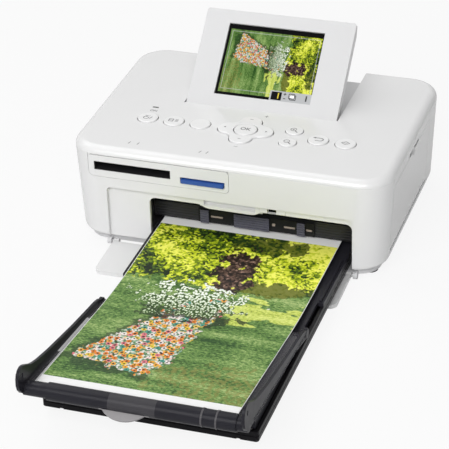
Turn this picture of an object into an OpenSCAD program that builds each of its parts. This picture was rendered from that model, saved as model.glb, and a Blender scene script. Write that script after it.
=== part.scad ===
// Compact dye-sublimation photo printer, with its screen raised, its front door
// folded down and its paper cassette in place with a finished print on the flap.
// +X is the printer's right, +Y its back and +Z up; the table is z = 0.

/* [Body] */
// Width of the body
body_w = 178; // [176:0.5:180]
// Depth of the body
body_d = 127; // [126:0.5:129]
// Height of the top cover above the table
body_h = 60.5; // [60:0.5:62]
// Radius of the upright corners in plan
corner_r = 17; // [14:0.5:18]
// Radius of the rolled top edge
top_r = 5; // [4:0.25:6]
// How far each side leans in at its foot
side_draft = 2.8; // [0:0.1:4]
// Wall thickness of the casings
wall = 2.2; // [1.8:0.1:2.4]
// Lower edge of the outer casings above the table
skirt_z = 6.4; // [6:0.1:7]
// Height of the seam under the top cover
seam_z = 56.5; // [56:0.1:57]

/* [Screen] */
// Width of the tilting screen
lcd_w = 86.4; // [84:0.1:87]
// Length of the screen from its hinge to its free edge
lcd_len = 58.1; // [57:0.1:58.4]
// Thickness of the screen
lcd_t = 7; // [6:0.1:7.2]
// Angle at which the screen stands
lcd_angle = 42.3; // [0:0.1:45]
// Sideways centre of the screen
lcd_x = 0.8; // [0:0.1:1.5]

/* [Controls] */
// Diameter of the round buttons
button_d = 11.2; // [10:0.1:11.4]
// Diameter of the two zoom buttons
zoom_d = 9.6; // [9:0.1:10]
// Rise of the buttons above the deck
button_rise = 0.8; // [0.4:0.1:1]
// Travel of the buttons
button_travel = 0.6; // [0.4:0.1:0.6]
// Span of the four-way pad
pad_d = 31; // [29:0.5:31.5]

/* [Front] */
// Left end of the shallow recess that the front door closes
recess_x0 = -66.8; // [-68:0.1:-66]
// Right end of that recess
recess_x1 = 70.2; // [69.9:0.1:71]
// Top of that recess
recess_top = 37.4; // [37:0.1:38]
// Left end of the cassette mouth
mouth_x0 = -43.2; // [-43.5:0.1:-42.9]
// Right end of the cassette mouth
mouth_x1 = 69.5; // [69:0.1:69.6]
// Top of the cassette mouth
mouth_top = 33.1; // [32.5:0.1:33.5]
// Length of the front door from its hinge
door_len = 31.5; // [30:0.1:32]

/* [Paper cassette] */
// Width of the cassette base
base_w = 109.4; // [109:0.1:109.8]
// Sideways centre of the cassette
base_x = 12.3; // [12.2:0.05:12.4]
// Front face of the cassette base, from the body's centre
base_front = -219; // [-220:0.5:-218]
// Height of the cassette base's underside above the table
base_z = 4.4; // [4.4:0.05:4.5]
// Height of the cassette base
base_h = 6; // [5.8:0.1:6]
// Slope of the flap lid
flap_pitch = 6.3; // [5.5:0.1:6.5]

/* [Print] */
// Width of the printed sheet
sheet_w = 100; // [99:0.5:100]
// Sideways centre of the sheet
sheet_x = 10.6; // [10.4:0.1:10.8]
// Front edge of the sheet, from the body's centre
sheet_front = -228.6; // [-229:0.1:-228]

/* [Drive] */
// Module of the gear teeth
gear_m = 0.8; // [0.78:0.01:0.8]
// Width of one gear layer
gear_w = 3.6; // [3:0.1:3.8]

/* [Hidden] */
$fn = 48;

gloss_white = "#f4f4f6";
satin_grey = "#d9d9dc";
dark_plastic = "#1d1d20";
smoke = "#3a393f";
steel = "#b4b7bb";
board_green = "#1f6b3c";
rubber_grey = "#5b5b60";
copper_tan = "#9a7a62";
ink_amber = "#c89b2c";

fit = 0.05;                    // radial clearance of a running fit
gap = 0.3;                     // gap between neighbouring mouldings
foot_r = 2.5;                  // radius of the casings' lower edge
flap_reach = 242.8;            // furthest point of the flap in front of the body's centre
row_y = (flap_reach - body_d / 2) / 2;   // puts the whole machine's centre at y = 0
face_y = -body_d / 2;          // front face
back_y = body_d / 2;           // rear face
big = 400;                     // half size of the cutting blocks

// ---- screen and its pit
lcd_axis = [2.0, body_h - 2];          // y and z of the screen's hinge
lcd_roll = 2;                          // radius of the rounded hinge edge
lcd_x0 = lcd_x - lcd_w / 2;
lcd_x1 = lcd_x + lcd_w / 2;
pit_gap = 1;
pit_floor = 52.3;
pit_y0 = lcd_axis[0] - lcd_roll - 0.4;
pit_skin = 2;
lcd_pin_r = 1;
bezel_t = 3;                           // depth of the screen's front shell
window = [-28.3, 27.7, 7, 48.3];       // left, right, low and high edge of the screen window

// ---- controls on the deck
pad_y = -24;
lobe_r = 6.2;
ok_d = 12.4;
button_clear = 0.35;
power_at = [-56.2, -23.7];
menu_at = [-41.1, -23.9];
edit_at = [-26, -23.4];
zoom_in_at = [25.8, -17.8];
zoom_out_at = [25.9, -31.4];
back_at = [41, -24.6];
print_at = [56.2, -25];
lamp_at = [-56.5, -10.3];
deck_under = body_h - wall;
board_z = 53.7;
board_t = 1.2;
dome_h = 0.6;
gimbal_z = 56.2;

// ---- card slots
bezel_x = [-77, 3];
bezel_z = [43.3, 56.2];
cf_x = [-73.2, -29.8];
cf_z = [47.4, 52.5];
sd_x = [-24.3, 0.6];
sd_z = [46, 49.6];
card_depth = 27;

// ---- door at the front, and its hinge
recess_depth = 2.3;
lining_y = face_y + recess_depth;
lining_t = 2;
door_axis = [-61, 2.5];
door_t = 2.2;
door_pitch = 2.5;
door_x0 = -65.2;
door_x1 = 69.2;
door_pin_r = 0.9;

// ---- ink cartridge door on the right side
side_slope = side_draft / (body_h - top_r - skirt_z - foot_r);
split_y = -48;                         // joint of the front panel and the rear shell
cart_y = [-46, 34];
cart_z = [11, 50.4];
cart_axis = [85.2, 12.4];
cart_pin_r = 0.8;

// ---- cassette
base_x0 = base_x - base_w / 2;
base_x1 = base_x + base_w / 2;
base_back = -24;
base_top = base_z + base_h;
tray_wall = 1.6;
lid_t = 2.2;
lid_front = -136.5;
lid_step = -107;
flap_axis = [-138.5, 14.4];
flap_x0 = base_x - 55.2;
flap_x1 = base_x + 55.2;
flap_wall = 1.5;
flap_flare = 0.57;                     // angle at which the flap's sides spread
floor_top = 1.3;
floor_t = 1.5;
ear_r = 2.6;
flap_pin_r = 1;
post_r = 1.8;
post_w = 1.4;
post_x = flap_x0 + flap_wall + 0.1 + gap;
roll_at = [96.1, 0.5];
roll_r = 4.4;
roll_end_r = 3.7;
skirt_front = -217;
tab_x = 9.7;                             // middle of the finger tab under the rolled edge
tab_w = 19;
tab_reach = 5;
tab_slope = 36;
tab_r = (tab_w * tab_w / 4 + tab_reach * tab_reach) / (2 * tab_reach);

// ---- printed sheet
sheet_t = 0.3;
sheet_z = 14.9;
sheet_back = -50;
bend_start = -105;
bend_end = -150;

// ---- paper path and drive
exit_at = [-46.5, 19.7];
capstan_at = [-15, 12];
platen_at = [3, 9.9];
pinch_at = [-15, 19.2];
shaft_r = 1.5;
chassis_x0 = -47;
chassis_x1 = 69.9;
plate_t = 1.4;
outer_layer = -58;                     // left face of the outer gear layer
inner_layer = -53.6;                   // left face of the inner gear layer
teeth_exit = 20;
teeth_capstan = 16;
teeth_pickup = 12;
teeth_drive = 36;
teeth_pinion = 12;
pressure = 25;
function pitch_r(teeth) = gear_m * teeth / 2;
// The drive gear meshes with both the exit and the feed roller's gears
span_e = pitch_r(teeth_drive) + pitch_r(teeth_exit);
span_c = pitch_r(teeth_drive) + pitch_r(teeth_capstan);
across = norm(capstan_at - exit_at);
along = (span_e * span_e - span_c * span_c + across * across) / (2 * across);
ahead = (capstan_at - exit_at) / across;
drive_at = exit_at + along * ahead + sqrt(span_e * span_e - along * along) * [-ahead[1], ahead[0]];
pickup_dir = 22;
pickup_at = exit_at + (pitch_r(teeth_exit) + pitch_r(teeth_pickup)) * [cos(pickup_dir), sin(pickup_dir)];
pinion_dir = 32;
pinion_at = drive_at + (pitch_r(teeth_drive) + pitch_r(teeth_pinion)) * [cos(pinion_dir), sin(pinion_dir)];
function direction(a, b) = atan2(b[1] - a[1], b[0] - a[0]);
function mesh_phase(phase, teeth, mate, dir) =
    dir + 180 - ((phase - dir) * teeth / 360 + 0.5) * 360 / mate;
drive_phase = 0;
exit_phase = mesh_phase(drive_phase, teeth_drive, teeth_exit, direction(drive_at, exit_at));
capstan_phase = mesh_phase(drive_phase, teeth_drive, teeth_capstan, direction(drive_at, capstan_at));
pinion_phase = mesh_phase(drive_phase, teeth_drive, teeth_pinion, pinion_dir);
pickup_phase = mesh_phase(exit_phase, teeth_exit, teeth_pickup, pickup_dir);
roller_x = [-40, 64];                  // working length of the long rollers
motor_r = 10.5;
motor_len = 20;
motor_face = -61.5;

// ---- ink cartridge
supply_at = [-19.5, 34.5];
takeup_at = [23, 32];
tube_r = 8.6;
spool_r = 4;
cart_x = [-41, 66];

// ---- fasteners
screw_at = [[-74, -34], [78, -34], [-74, 30], [78, 34]];
foot_at = [[-72, -48], [76, -48], [-72, 48], [76, 48]];

// ================= shared shapes =================

// Moves a sub-part from the body's centre to the frame of the whole machine
module in_row() translate([0, row_y, 0]) children();

// Block between two corners
module block(low, high) translate(low) cube(high - low);

// Rod or hole along X
module rod(x0, x1, r, at) translate([x0, at[0], at[1]]) rotate([0, 90, 0]) cylinder(r = r, h = x1 - x0);

// Outline in y and z, drawn out along X
module along_x(x0, x1) translate([x0, 0, 0]) rotate([90, 0, 90]) linear_extrude(x1 - x0) children();

// Rectangle with round corners
module round_rect(low, high, r) {
    translate([low[0] + r, low[1]]) square([high[0] - low[0] - 2 * r, high[1] - low[1]]);
    translate([low[0], low[1] + r]) square([high[0] - low[0], high[1] - low[1] - 2 * r]);
    for (x = [low[0] + r, high[0] - r], y = [low[1] + r, high[1] - r]) translate([x, y]) circle(r);
}

// Ring whose rounded rim makes one corner of the casing
module corner_ring(r, rim) rotate_extrude($fn = 40) translate([r - rim, 0]) circle(rim, $fn = 20);

// Outer form of the body; a larger inset gives the inside of the wall
module body_form(inset = 0) {
    low_rim = max(foot_r - inset, 0.3);
    low_z = inset > 0 ? skirt_z - 4 : skirt_z + foot_r;
    hull() for (sx = [-1, 1], sy = [-1, 1]) {
        translate([sx * (body_w / 2 - corner_r), sy * (body_d / 2 - corner_r), body_h - top_r])
            corner_ring(corner_r - inset, top_r - inset);
        translate([sx * (body_w / 2 - corner_r - side_draft), sy * (body_d / 2 - corner_r), low_z])
            corner_ring(corner_r - inset, low_rim);
    }
}

// Thin casing that follows the body's form
module body_skin() difference() {
    body_form();
    body_form(wall);
}

// Polar angle of an involute flank at radius r, seen from the tooth's middle
function inv(a) = tan(a) * 180 / PI - a;
function flank(r, base, half, at_pitch) = r <= base ? half + at_pitch : half + at_pitch - inv(acos(base / r));

// Spur gear outline
module gear_outline(teeth, phase) {
    rp = pitch_r(teeth);
    base = rp * cos(pressure);
    root = rp - 1.25 * gear_m;
    tip = rp + 0.9 * gear_m;
    half = 90 / teeth - 0.07 / rp * 180 / PI;
    radii = [root, max(base, root), rp - 0.3 * gear_m, rp, rp + 0.45 * gear_m, tip];
    side = [for (r = radii) [r, flank(r, base, half, inv(pressure))]];
    tooth = concat([for (s = side) [s[0], -s[1]]], [for (i = [len(side) - 1:-1:0]) side[i]]);
    polygon([for (k = [0:teeth - 1]) for (p = tooth)
        p[0] * [cos(phase + k * 360 / teeth + p[1]), sin(phase + k * 360 / teeth + p[1])]]);
}

// Spur gear on an axis along X
module gear(teeth, phase, at, x0, x1, bore_r) difference() {
    translate([x0, at[0], at[1]]) rotate([90, 0, 90]) linear_extrude(x1 - x0) gear_outline(teeth, phase);
    rod(x0 - 1, x1 + 1, bore_r, at);
}

// ================= casings =================

// Places the screen's parts: hinge at the origin, y along the screen, z out of its face
module screen_pose() translate([0, lcd_axis[0], lcd_axis[1]]) rotate([lcd_angle, 0, 0]) children();

// Holes for the controls, cut down through the deck
module control_holes() {
    for (at = [power_at, menu_at, edit_at, back_at, print_at])
        translate([at[0], at[1], deck_under - 5]) cylinder(d = button_d + 2 * button_clear, h = 10);
    for (at = [zoom_in_at, zoom_out_at])
        translate([at[0], at[1], deck_under - 5]) cylinder(d = zoom_d + 2 * button_clear, h = 10);
    translate([0, pad_y, deck_under - 5]) linear_extrude(10) pad_outline(0.4);
    translate([lamp_at[0] - 2.2, lamp_at[1] - 0.7, deck_under - 5]) cube([4.4, 1.4, 10]);
}

// Glossy cover with the control deck and the pit that the screen folds into
module top_cover() color(gloss_white) in_row() difference() {
    union() {
        intersection() {
            body_skin();
            block([-big, -big, seam_z + gap / 2], [big, big, big]);
        }
        // floor and side walls of the pit
        block([lcd_x0 - pit_gap - pit_skin, pit_y0 - pit_skin, pit_floor - pit_skin],
            [lcd_x1 + pit_gap + pit_skin, back_y - 0.6, body_h - 1.5]);
    }
    block([lcd_x0 - pit_gap, pit_y0, pit_floor], [lcd_x1 + pit_gap, back_y + 10, body_h + 10]);
    rod(lcd_x0 - 5, lcd_x1 + 5, lcd_pin_r, lcd_axis);
    control_holes();
}

// Front wall with the card slots, the door recess and the cassette mouth
module front_panel() color(gloss_white) in_row() difference() {
    union() {
        intersection() {
            body_skin();
            block([-big, -big, 0], [big, split_y, seam_z - gap / 2]);
        }
        // lining behind the door recess
        along_x(recess_x0 - 2, recess_x1 + 2)
            polygon([[lining_y, skirt_z], [lining_y + lining_t, skirt_z],
                [lining_y + lining_t, recess_top + 2], [lining_y, recess_top + 2]]);
        // seat behind the card slots
        block([bezel_x[0] - 1.5, face_y + wall - 0.1, bezel_z[0] - 1.5],
            [bezel_x[1] + 1.5, face_y + wall + 1.2, bezel_z[1]]);
    }
    // recess for the closed door
    translate([0, lining_y, 0]) rotate([90, 0, 0]) linear_extrude(10)
        round_rect([recess_x0, -10], [recess_x1, recess_top], 5);
    // mouth, with a dipped lip at its middle
    translate([0, lining_y + 8, 0]) rotate([90, 0, 0]) linear_extrude(20) difference() {
        round_rect([mouth_x0, -10], [mouth_x1, mouth_top], 3.5);
        polygon([[-16.2, mouth_top + 1], [-16.2, mouth_top], [-12.8, mouth_top - 0.8], [-9.3, mouth_top - 2.1],
            [20.9, mouth_top - 2.1], [23.5, mouth_top - 0.9], [26, mouth_top], [26, mouth_top + 1]]);
    }
    // finger scoop over the lip, and the hole of the door's catch
    block([-12.4, lining_y - 1, mouth_top - 0.3], [22, lining_y + 0.9, recess_top - 0.4]);
    block([24.5, lining_y - 1, 35.5], [28.6, lining_y + 9, 37.3]);
    block([bezel_x[0], face_y - 2, bezel_z[0]], [bezel_x[1], face_y + 1.6, bezel_z[1] + 2]);
    block([cf_x[0] - 0.5, face_y, cf_z[0] - 0.5], [cf_x[1] + 0.5, face_y + 9, cf_z[1] + 0.5]);
    block([sd_x[0] - 0.5, face_y, sd_z[0] - 0.5], [sd_x[1] + 0.5, face_y + 9, sd_z[1] + 0.5]);
}

vent_x = [for (i = [0:9]) -78 + i * 3.2];
rear_slot_x = [-44, 64];
rear_slot_z = [12.5, 19.5];
inlet_x = 70;
usb_x = 70;

// Sides and back of the casing
module rear_shell() color(gloss_white) in_row() difference() {
    intersection() {
        body_skin();
        block([-big, split_y + gap, 0], [big, big, seam_z - gap / 2]);
    }
    // notch under the screen pit
    block([lcd_x0 - pit_gap - pit_skin - gap, back_y - 12, pit_floor - pit_skin - gap],
        [lcd_x1 + pit_gap + pit_skin + gap, big, big]);
    // opening of the ink cartridge door, with a finger slot above it
    block([70, cart_y[0], cart_z[0] - 0.6], [big, cart_y[1], cart_z[1]]);
    block([70, -12.5, cart_z[1] - 1], [big, 6.5, cart_z[1] + 2.2]);
    translate([cart_axis[0], cart_y[0] - 1.5, cart_axis[1]]) rotate([-90, 0, 0])
        cylinder(r = cart_pin_r, h = cart_y[1] - cart_y[0] + 3);
    // slot where the paper shows while it is printed
    block([rear_slot_x[0], back_y - 8, rear_slot_z[0]], [rear_slot_x[1], big, rear_slot_z[1]]);
    // sockets and vents
    translate([inlet_x, back_y - 8, 32]) rotate([-90, 0, 0]) cylinder(d = 8, h = 20);
    block([usb_x - 4.4, back_y - 8, 12], [usb_x + 4.4, big, 20.4]);
    for (x = vent_x) block([x, back_y - 8, 24], [x + 1.6, big, 42]);
}

// Lower tray that carries the mechanism
module bottom_case() color(satin_grey) in_row() difference() {
    union() {
        difference() {
            translate([0, 0, 2.4]) linear_extrude(9.4) round_rect([-82, -59], [82, 59], 12);
            translate([0, 0, 4]) linear_extrude(10) round_rect([-80.2, -57.2], [80.2, 57.2], 10.2);
        }
        for (at = screw_at) translate([at[0], at[1], 3]) cylinder(r = 3.2, h = 4);
        for (x = [[-68.6, -66.4], [70.4, 72.6]]) {
            rod(x[0], x[1], 1.9, door_axis);
            block([x[0], door_axis[0], door_axis[1] - 0.1], [x[1], -58, door_axis[1] + 1.9]);
        }
    }
    block([mouth_x0 - 2, -80, 4], [mouth_x1 + 1, -50, 20]);
    block([rear_slot_x[0], 50, 10.4], [rear_slot_x[1], 80, 20]);
    for (at = screw_at) translate([at[0], at[1], 0]) cylinder(r = 1.25, h = 20);
    for (at = foot_at) translate([at[0], at[1], 0]) cylinder(r = 4.5, h = 3.2);
    rod(-70, 75, door_pin_r, door_axis);
}

// Four rubber feet in their sockets
module rubber_feet() color(rubber_grey) in_row()
    for (at = foot_at) translate([at[0], at[1], 0]) cylinder(r = 4.5, h = 3.2);

// Screws that hold the bottom case to the chassis posts
module case_screws() color(steel) in_row()
    for (at = screw_at) translate([at[0], at[1], 0]) {
        translate([0, 0, 1.2]) cylinder(r = 2.4, h = 1.2);
        translate([0, 0, 2.4]) cylinder(r = 1.25, h = 4.4);
    }

// Flap on the right side that covers the ink cartridge
module cartridge_door() color(gloss_white) in_row() difference() {
    union() {
        intersection() {
            body_skin();
            block([70, cart_y[0] + gap, cart_axis[1]], [big, cart_y[1] - gap, cart_z[1] - gap]);
        }
        translate([cart_axis[0], cart_y[0] + gap, cart_axis[1]]) rotate([-90, 0, 0])
            cylinder(r = 1.1, h = cart_y[1] - cart_y[0] - 2 * gap);
    }
    translate([cart_axis[0], cart_y[0] - 1, cart_axis[1]]) rotate([-90, 0, 0])
        cylinder(r = cart_pin_r + fit, h = cart_y[1] - cart_y[0] + 2);
    // hollow for the fingertip
    translate([89.5, -3, cart_z[1] + 1]) sphere(r = 4.2);
}

// Pivot pins of the cartridge door
module cartridge_door_pins() color(steel) in_row()
    for (y = [cart_y[0] - 1.5, cart_y[1] - 4.5])
        translate([cart_axis[0], y, cart_axis[1]]) rotate([-90, 0, 0]) cylinder(r = cart_pin_r, h = 6);

// ================= card slots =================

// Plate around the two card slots
module card_bezel() color(gloss_white) in_row() difference() {
    translate([0, face_y + 1.6, 0]) rotate([90, 0, 0]) linear_extrude(1.6)
        round_rect([bezel_x[0] + 0.25, bezel_z[0] + 0.25], [bezel_x[1] - 0.25, bezel_z[1] - 0.1], 1.5);
    block([cf_x[0], face_y - 5, cf_z[0]], [cf_x[1], face_y + 5, cf_z[1]]);
    block([sd_x[0], face_y - 5, sd_z[0]], [sd_x[1], face_y + 5, sd_z[1]]);
}

// Open-fronted metal cage behind a card slot
module card_cage(x, z, depth, skin) difference() {
    block([x[0] - skin, face_y + wall + 1.3, z[0] - skin], [x[1] + skin, face_y + depth, z[1] + skin]);
    block([x[0], face_y, z[0]], [x[1], face_y + depth - 1.5, z[1]]);
}

// Reader for the large cards, with its row of contact pins
module large_card_reader() color(dark_plastic) in_row() {
    card_cage(cf_x, cf_z, card_depth + 2, 0.7);
    for (x = [cf_x[0] + 4:3.2:cf_x[1] - 3])
        block([x, face_y + card_depth - 4, 49.6], [x + 0.6, face_y + card_depth + 0.7, 50.3]);
}

// Reader for the small cards
module small_card_reader() color(steel) in_row() card_cage(sd_x, sd_z, card_depth + 4, 0.4);

// Small memory card left in its slot
module memory_card() color("#2c4f9f") in_row() difference() {
    block([sd_x[0] + 0.45, face_y - 1.2, sd_z[0] + 0.5], [sd_x[1] - 0.45, face_y + card_depth, sd_z[0] + 2.6]);
    for (s = [[sd_x[0] + 0.45, 1], [sd_x[1] - 0.45, -1]]) translate([s[0], face_y - 1.2, sd_z[0] + 0.5])
        rotate([0, 45 * s[1], 0]) cube([1.6, 6, 1.6], center = true);
}

// ================= screen =================

// Front shell of the screen, with its rounded hinge edge
module lcd_front() color(gloss_white) in_row() screen_pose() difference() {
    union() {
        along_x(lcd_x0, lcd_x1) {
            polygon([[0, lcd_roll], [0, -0.9], [3, lcd_roll - bezel_t], [lcd_len, lcd_roll - bezel_t],
                [lcd_len, lcd_roll - 0.4], [lcd_len - 0.4, lcd_roll]]);
            circle(lcd_roll);
        }
    }
    block([window[0], window[2], -5], [window[1], window[3], 5]);
    // room for the display and its window
    block([window[0] - 5, 4.6, -5], [window[1] + 8, window[3] + 4, lcd_roll - 1.2]);
    rod(lcd_x0 - 1, lcd_x0 + 7, lcd_pin_r + fit, [0, 0]);
    rod(lcd_x1 - 7, lcd_x1 + 1, lcd_pin_r + fit, [0, 0]);
}

// Tapered rear shell of the screen
module lcd_back() color(gloss_white) in_row() screen_pose() difference() {
    along_x(lcd_x0 + 0.2, lcd_x1 - 0.2)
        polygon([[3.4, lcd_roll - bezel_t], [5.5, lcd_roll - lcd_t], [lcd_len - 7, lcd_roll - lcd_t],
            [lcd_len - 0.4, lcd_roll - bezel_t]]);
    block([window[0] - 5, 4.9, lcd_roll - lcd_t + 1.4], [window[1] + 8, window[3] + 3.6, 5]);
}

// Display panel with its frame
module lcd_module() color(dark_plastic) in_row() screen_pose() union() {
    block([window[0] - 4, 5.4, lcd_roll - 4.9], [window[1] + 7, window[3] + 3, lcd_roll - 2]);
    block([window[0] + 6, 10, lcd_roll - lcd_t + 1.4], [window[1] - 6, 30, lcd_roll - 4.9]);
}

// Clear window in front of the display
module lcd_window() color("#20242a") in_row() screen_pose()
    block([window[0] - 2, window[2] - 2, lcd_roll - 2], [window[1] + 2, window[3] + 2, lcd_roll - 1.2]);

// Two pins that the screen tilts on
module lcd_pins() color(steel) in_row() {
    rod(lcd_x0 - 2.8, lcd_x0 + 6.6, lcd_pin_r, lcd_axis);
    rod(lcd_x1 - 6.6, lcd_x1 + 2.8, lcd_pin_r, lcd_axis);
}

// ================= controls =================

// Push button with a chamfered rim, a retaining flange and a stem over its switch
module push_button(at, d) color(gloss_white) in_row() translate([at[0], at[1], 0]) {
    top = body_h + button_rise;
    stem_z = board_z + board_t + dome_h + button_travel + 0.1;
    translate([0, 0, deck_under - 1.4]) cylinder(d = d, h = top - deck_under + 0.9);
    translate([0, 0, top - 0.5]) cylinder(d1 = d, d2 = d - 1, h = 0.5);
    translate([0, 0, deck_under - 1.5]) cylinder(d = d + 1.6, h = 1.2);
    translate([0, 0, stem_z]) cylinder(d = 3, h = deck_under - 1.4 - stem_z);
}

module power_button() push_button(power_at, button_d);
module menu_button() push_button(menu_at, button_d);
module edit_button() push_button(edit_at, button_d);
module zoom_in_button() push_button(zoom_in_at, zoom_d);
module zoom_out_button() push_button(zoom_out_at, zoom_d);
module back_button() push_button(back_at, button_d);
module print_button() push_button(print_at, button_d);

// Four lobes joined by a round middle
module pad_outline(grow = 0) {
    reach = pad_d / 2 - lobe_r;
    circle(10.4 + grow);
    for (a = [0:90:270]) rotate(a) {
        translate([reach, 0]) circle(lobe_r + grow);
        translate([0, -lobe_r - grow]) square([reach, 2 * (lobe_r + grow)]);
    }
}

// Four-way pad around the middle button
module nav_pad() color(gloss_white) in_row() translate([0, pad_y, 0]) difference() {
    union() {
        translate([0, 0, 57.6]) linear_extrude(body_h + 1 - 57.6) pad_outline();
        for (s = [-1, 1]) block([-0.9, s * 10.6 - 0.8, gimbal_z - 0.7], [0.9, s * 10.6 + 0.8, 58]);
    }
    translate([0, 0, 50]) cylinder(d = ok_d + 1.2, h = 20);
    translate([0, 0, gimbal_z]) rotate([90, 0, 0]) cylinder(r = 0.4 + fit, h = 26, center = true);
}

// Ring that lets the pad rock both ways
module nav_gimbal() color(dark_plastic) in_row() translate([0, pad_y, gimbal_z]) {
    difference() {
        translate([0, 0, -0.4]) cylinder(r = 9, h = 0.8);
        translate([0, 0, -2]) cylinder(r = 7.4, h = 4);
    }
    for (a = [0:90:270]) rotate(a) translate([10.3, 0, 0]) rotate([0, 90, 0])
        cylinder(r = 0.4, h = 3, center = true);
}

// Round button in the middle of the pad
module ok_button() color(gloss_white) in_row() translate([0, pad_y, 0]) {
    top = body_h + button_rise + 0.3;
    stem_z = board_z + board_t + dome_h + button_travel + 0.1;
    translate([0, 0, 57.2]) cylinder(d = ok_d, h = top - 0.5 - 57.2);
    translate([0, 0, top - 0.5]) cylinder(d1 = ok_d, d2 = ok_d - 1, h = 0.5);
    translate([0, 0, stem_z]) cylinder(d = 3, h = 57.2 - stem_z);
}

// Lens of the power lamp
module power_lamp() color("#9fb4a4") in_row()
    translate([lamp_at[0] - 2.2, lamp_at[1] - 0.7, board_z + board_t + 0.8])
        cube([4.4, 1.4, body_h - board_z - board_t - 0.8]);

// Board under the deck, with a dome switch under every button
module key_board() color(board_green) in_row() {
    difference() {
        union() {
            block([-64, -40, board_z], [64, -6, board_z + board_t]);
            for (s = [-1, 1])
                block([s * 11 - 0.8, pad_y - 1.2, board_z], [s * 11 + 0.8, pad_y + 1.2, gimbal_z + 0.75]);
            for (x = [-61, 61], y = [-37, -9])
                translate([x, y, board_z]) cylinder(r = 1.8, h = deck_under - board_z);
        }
        rod(-13, 13, 0.4 + fit, [pad_y, gimbal_z]);
    }
    for (at = [power_at, menu_at, edit_at, zoom_in_at, zoom_out_at, back_at, print_at, [0, pad_y]])
        translate([at[0], at[1], board_z + board_t]) cylinder(d = 5, h = dome_h);
}

// ================= front door =================

// Door of the cassette mouth, folded down on the table
module front_door() color(gloss_white) in_row() translate([0, door_axis[0], door_axis[1]])
    rotate([door_pitch, 0, 0]) difference() {
        union() {
            translate([0, 0, -door_t / 2]) linear_extrude(door_t) difference() {
                round_rect([door_x0, -door_len], [door_x1, 0], 4);
                translate([door_x0 + 3, -1.9]) square([door_x1 - door_x0 - 6, 5]);
            }
            for (x = [[door_x0, door_x0 + 3], [door_x1 - 3, door_x1]]) {
                rod(x[0], x[1], 1.5, [0, 0]);
                block([x[0], -6, -door_t / 2], [x[1], 0, door_t / 2]);
            }
        }
        rod(door_x0 - 1, door_x0 + 4, door_pin_r + fit, [0, 0]);
        rod(door_x1 - 4, door_x1 + 1, door_pin_r + fit, [0, 0]);
    }

// Two pins that the front door turns on
module front_door_pins() color(steel) in_row() {
    rod(-68.6, door_x0 + 3, door_pin_r, door_axis);
    rod(door_x1 - 3, 72.6, door_pin_r, door_axis);
}

// ================= mechanism =================

shaft_holes = [exit_at, capstan_at, platen_at, pinch_at, pickup_at];

// Steel side plates tied by cross bars, with the motor bracket and the drive gear's stub
module chassis() color(steel) in_row() difference() {
    union() {
        for (x = [chassis_x0, chassis_x1]) block([x, -55, 4], [x + plate_t, 36, 46]);
        // cross bars
        block([chassis_x0, -4, 45], [chassis_x1 + plate_t, 10, 46.4]);
        block([chassis_x0, 30, 24], [chassis_x1 + plate_t, 36, 25.4]);
        rod(outer_layer - 1.6, chassis_x0, shaft_r, drive_at);
        // motor bracket
        block([motor_face, -26, 24], [motor_face + 1.4, 4, 50]);
        for (z = [26.5, 43.5]) rod(motor_face, chassis_x0, 1.4, [0, z]);
        // ledges that carry the ink cartridge
        for (x = [chassis_x0, cart_x[1] - 1.5]) {
            block([x, supply_at[0] - 3, 24.2], [x + 7.4, supply_at[0] + 3, supply_at[1] - tube_r - 0.1]);
            block([x, takeup_at[0] - 3, 21.8], [x + 7.4, takeup_at[0] + 3, takeup_at[1] - tube_r - 0.1]);
        }
        // feet screwed to the bottom case
        for (x = [chassis_x0, chassis_x1 - 6], y = [-12, 28]) block([x, y, 4], [x + 7.4, y + 5, 5.4]);
    }
    // way in for the ink cartridge
    block([chassis_x1 - 1, -30, 23], [chassis_x1 + plate_t + 1, 33.5, 44.2]);
    for (at = shaft_holes) rod(chassis_x0 - 1, chassis_x1 + 3, shaft_r + fit, at);
    rod(motor_face - 1, motor_face + 3, 3.2, pinion_at);
}

// Steel shaft with a roller on it, carried in both side plates
module roller(at, r, x, left) {
    rod(left, chassis_x1 + plate_t + 1, shaft_r, at);
    rod(x[0], x[1], r, at);
}

// Black moulding with ribs that the print leaves under
module output_guide() color(dark_plastic) in_row() difference() {
    union() {
        block([-44.8, -46.2, 24.2], [69.2, -44.4, 40]);
        block([-44.8, -50.4, 24.2], [69.2, -44.4, 25.6]);
        block([-44.8, -54, 36], [69.2, -44.4, 37.4]);
        for (x = [[-44.8, -19.5], [45.6, 69.2]]) block([x[0], -50.4, 16.2], [x[1], -49, 25]);
        for (x = [[-18.8, -13.8], [0.1, 20.3], [35.6, 40.5]]) block([x[0], -50.2, 16.4], [x[1], -44.4, 25]);
    }
    rod(-45.2, 70, 2.2, exit_at);
    for (x = [[-44, -24], [46.5, 68.4]], z = [27, 30]) block([x[0], -47, z], [x[1], -45.6, z + 0.8]);
}

// Exit shaft with its tan grip rollers and its gear
module exit_roller() color(copper_tan) in_row() {
    rod(outer_layer - 0.5, chassis_x1 + plate_t + 1, shaft_r, exit_at);
    for (x = [[-12.5, -5.7], [22, 24], [28.8, 34.9], [41.1, 44.4]]) rod(x[0], x[1], 3.9, exit_at);
    gear(teeth_exit, exit_phase, exit_at, outer_layer, inner_layer + gear_w, shaft_r - 0.2);
}

// Knurled feed roller under the paper, with its gear
module capstan_roller() color(steel) in_row() {
    roller(capstan_at, 3, roller_x, outer_layer - 0.5);
    gear(teeth_capstan, capstan_phase, capstan_at, outer_layer, outer_layer + gear_w, shaft_r - 0.2);
}

// Idle roller that presses the paper on the feed roller
module pinch_roller() color(rubber_grey) in_row() roller(pinch_at, 3.6, roller_x, chassis_x0 - 1);

// Rubber roller under the thermal head
module platen_roller() color(rubber_grey) in_row() roller(platen_at, 5, roller_x, chassis_x0 - 1);

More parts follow.
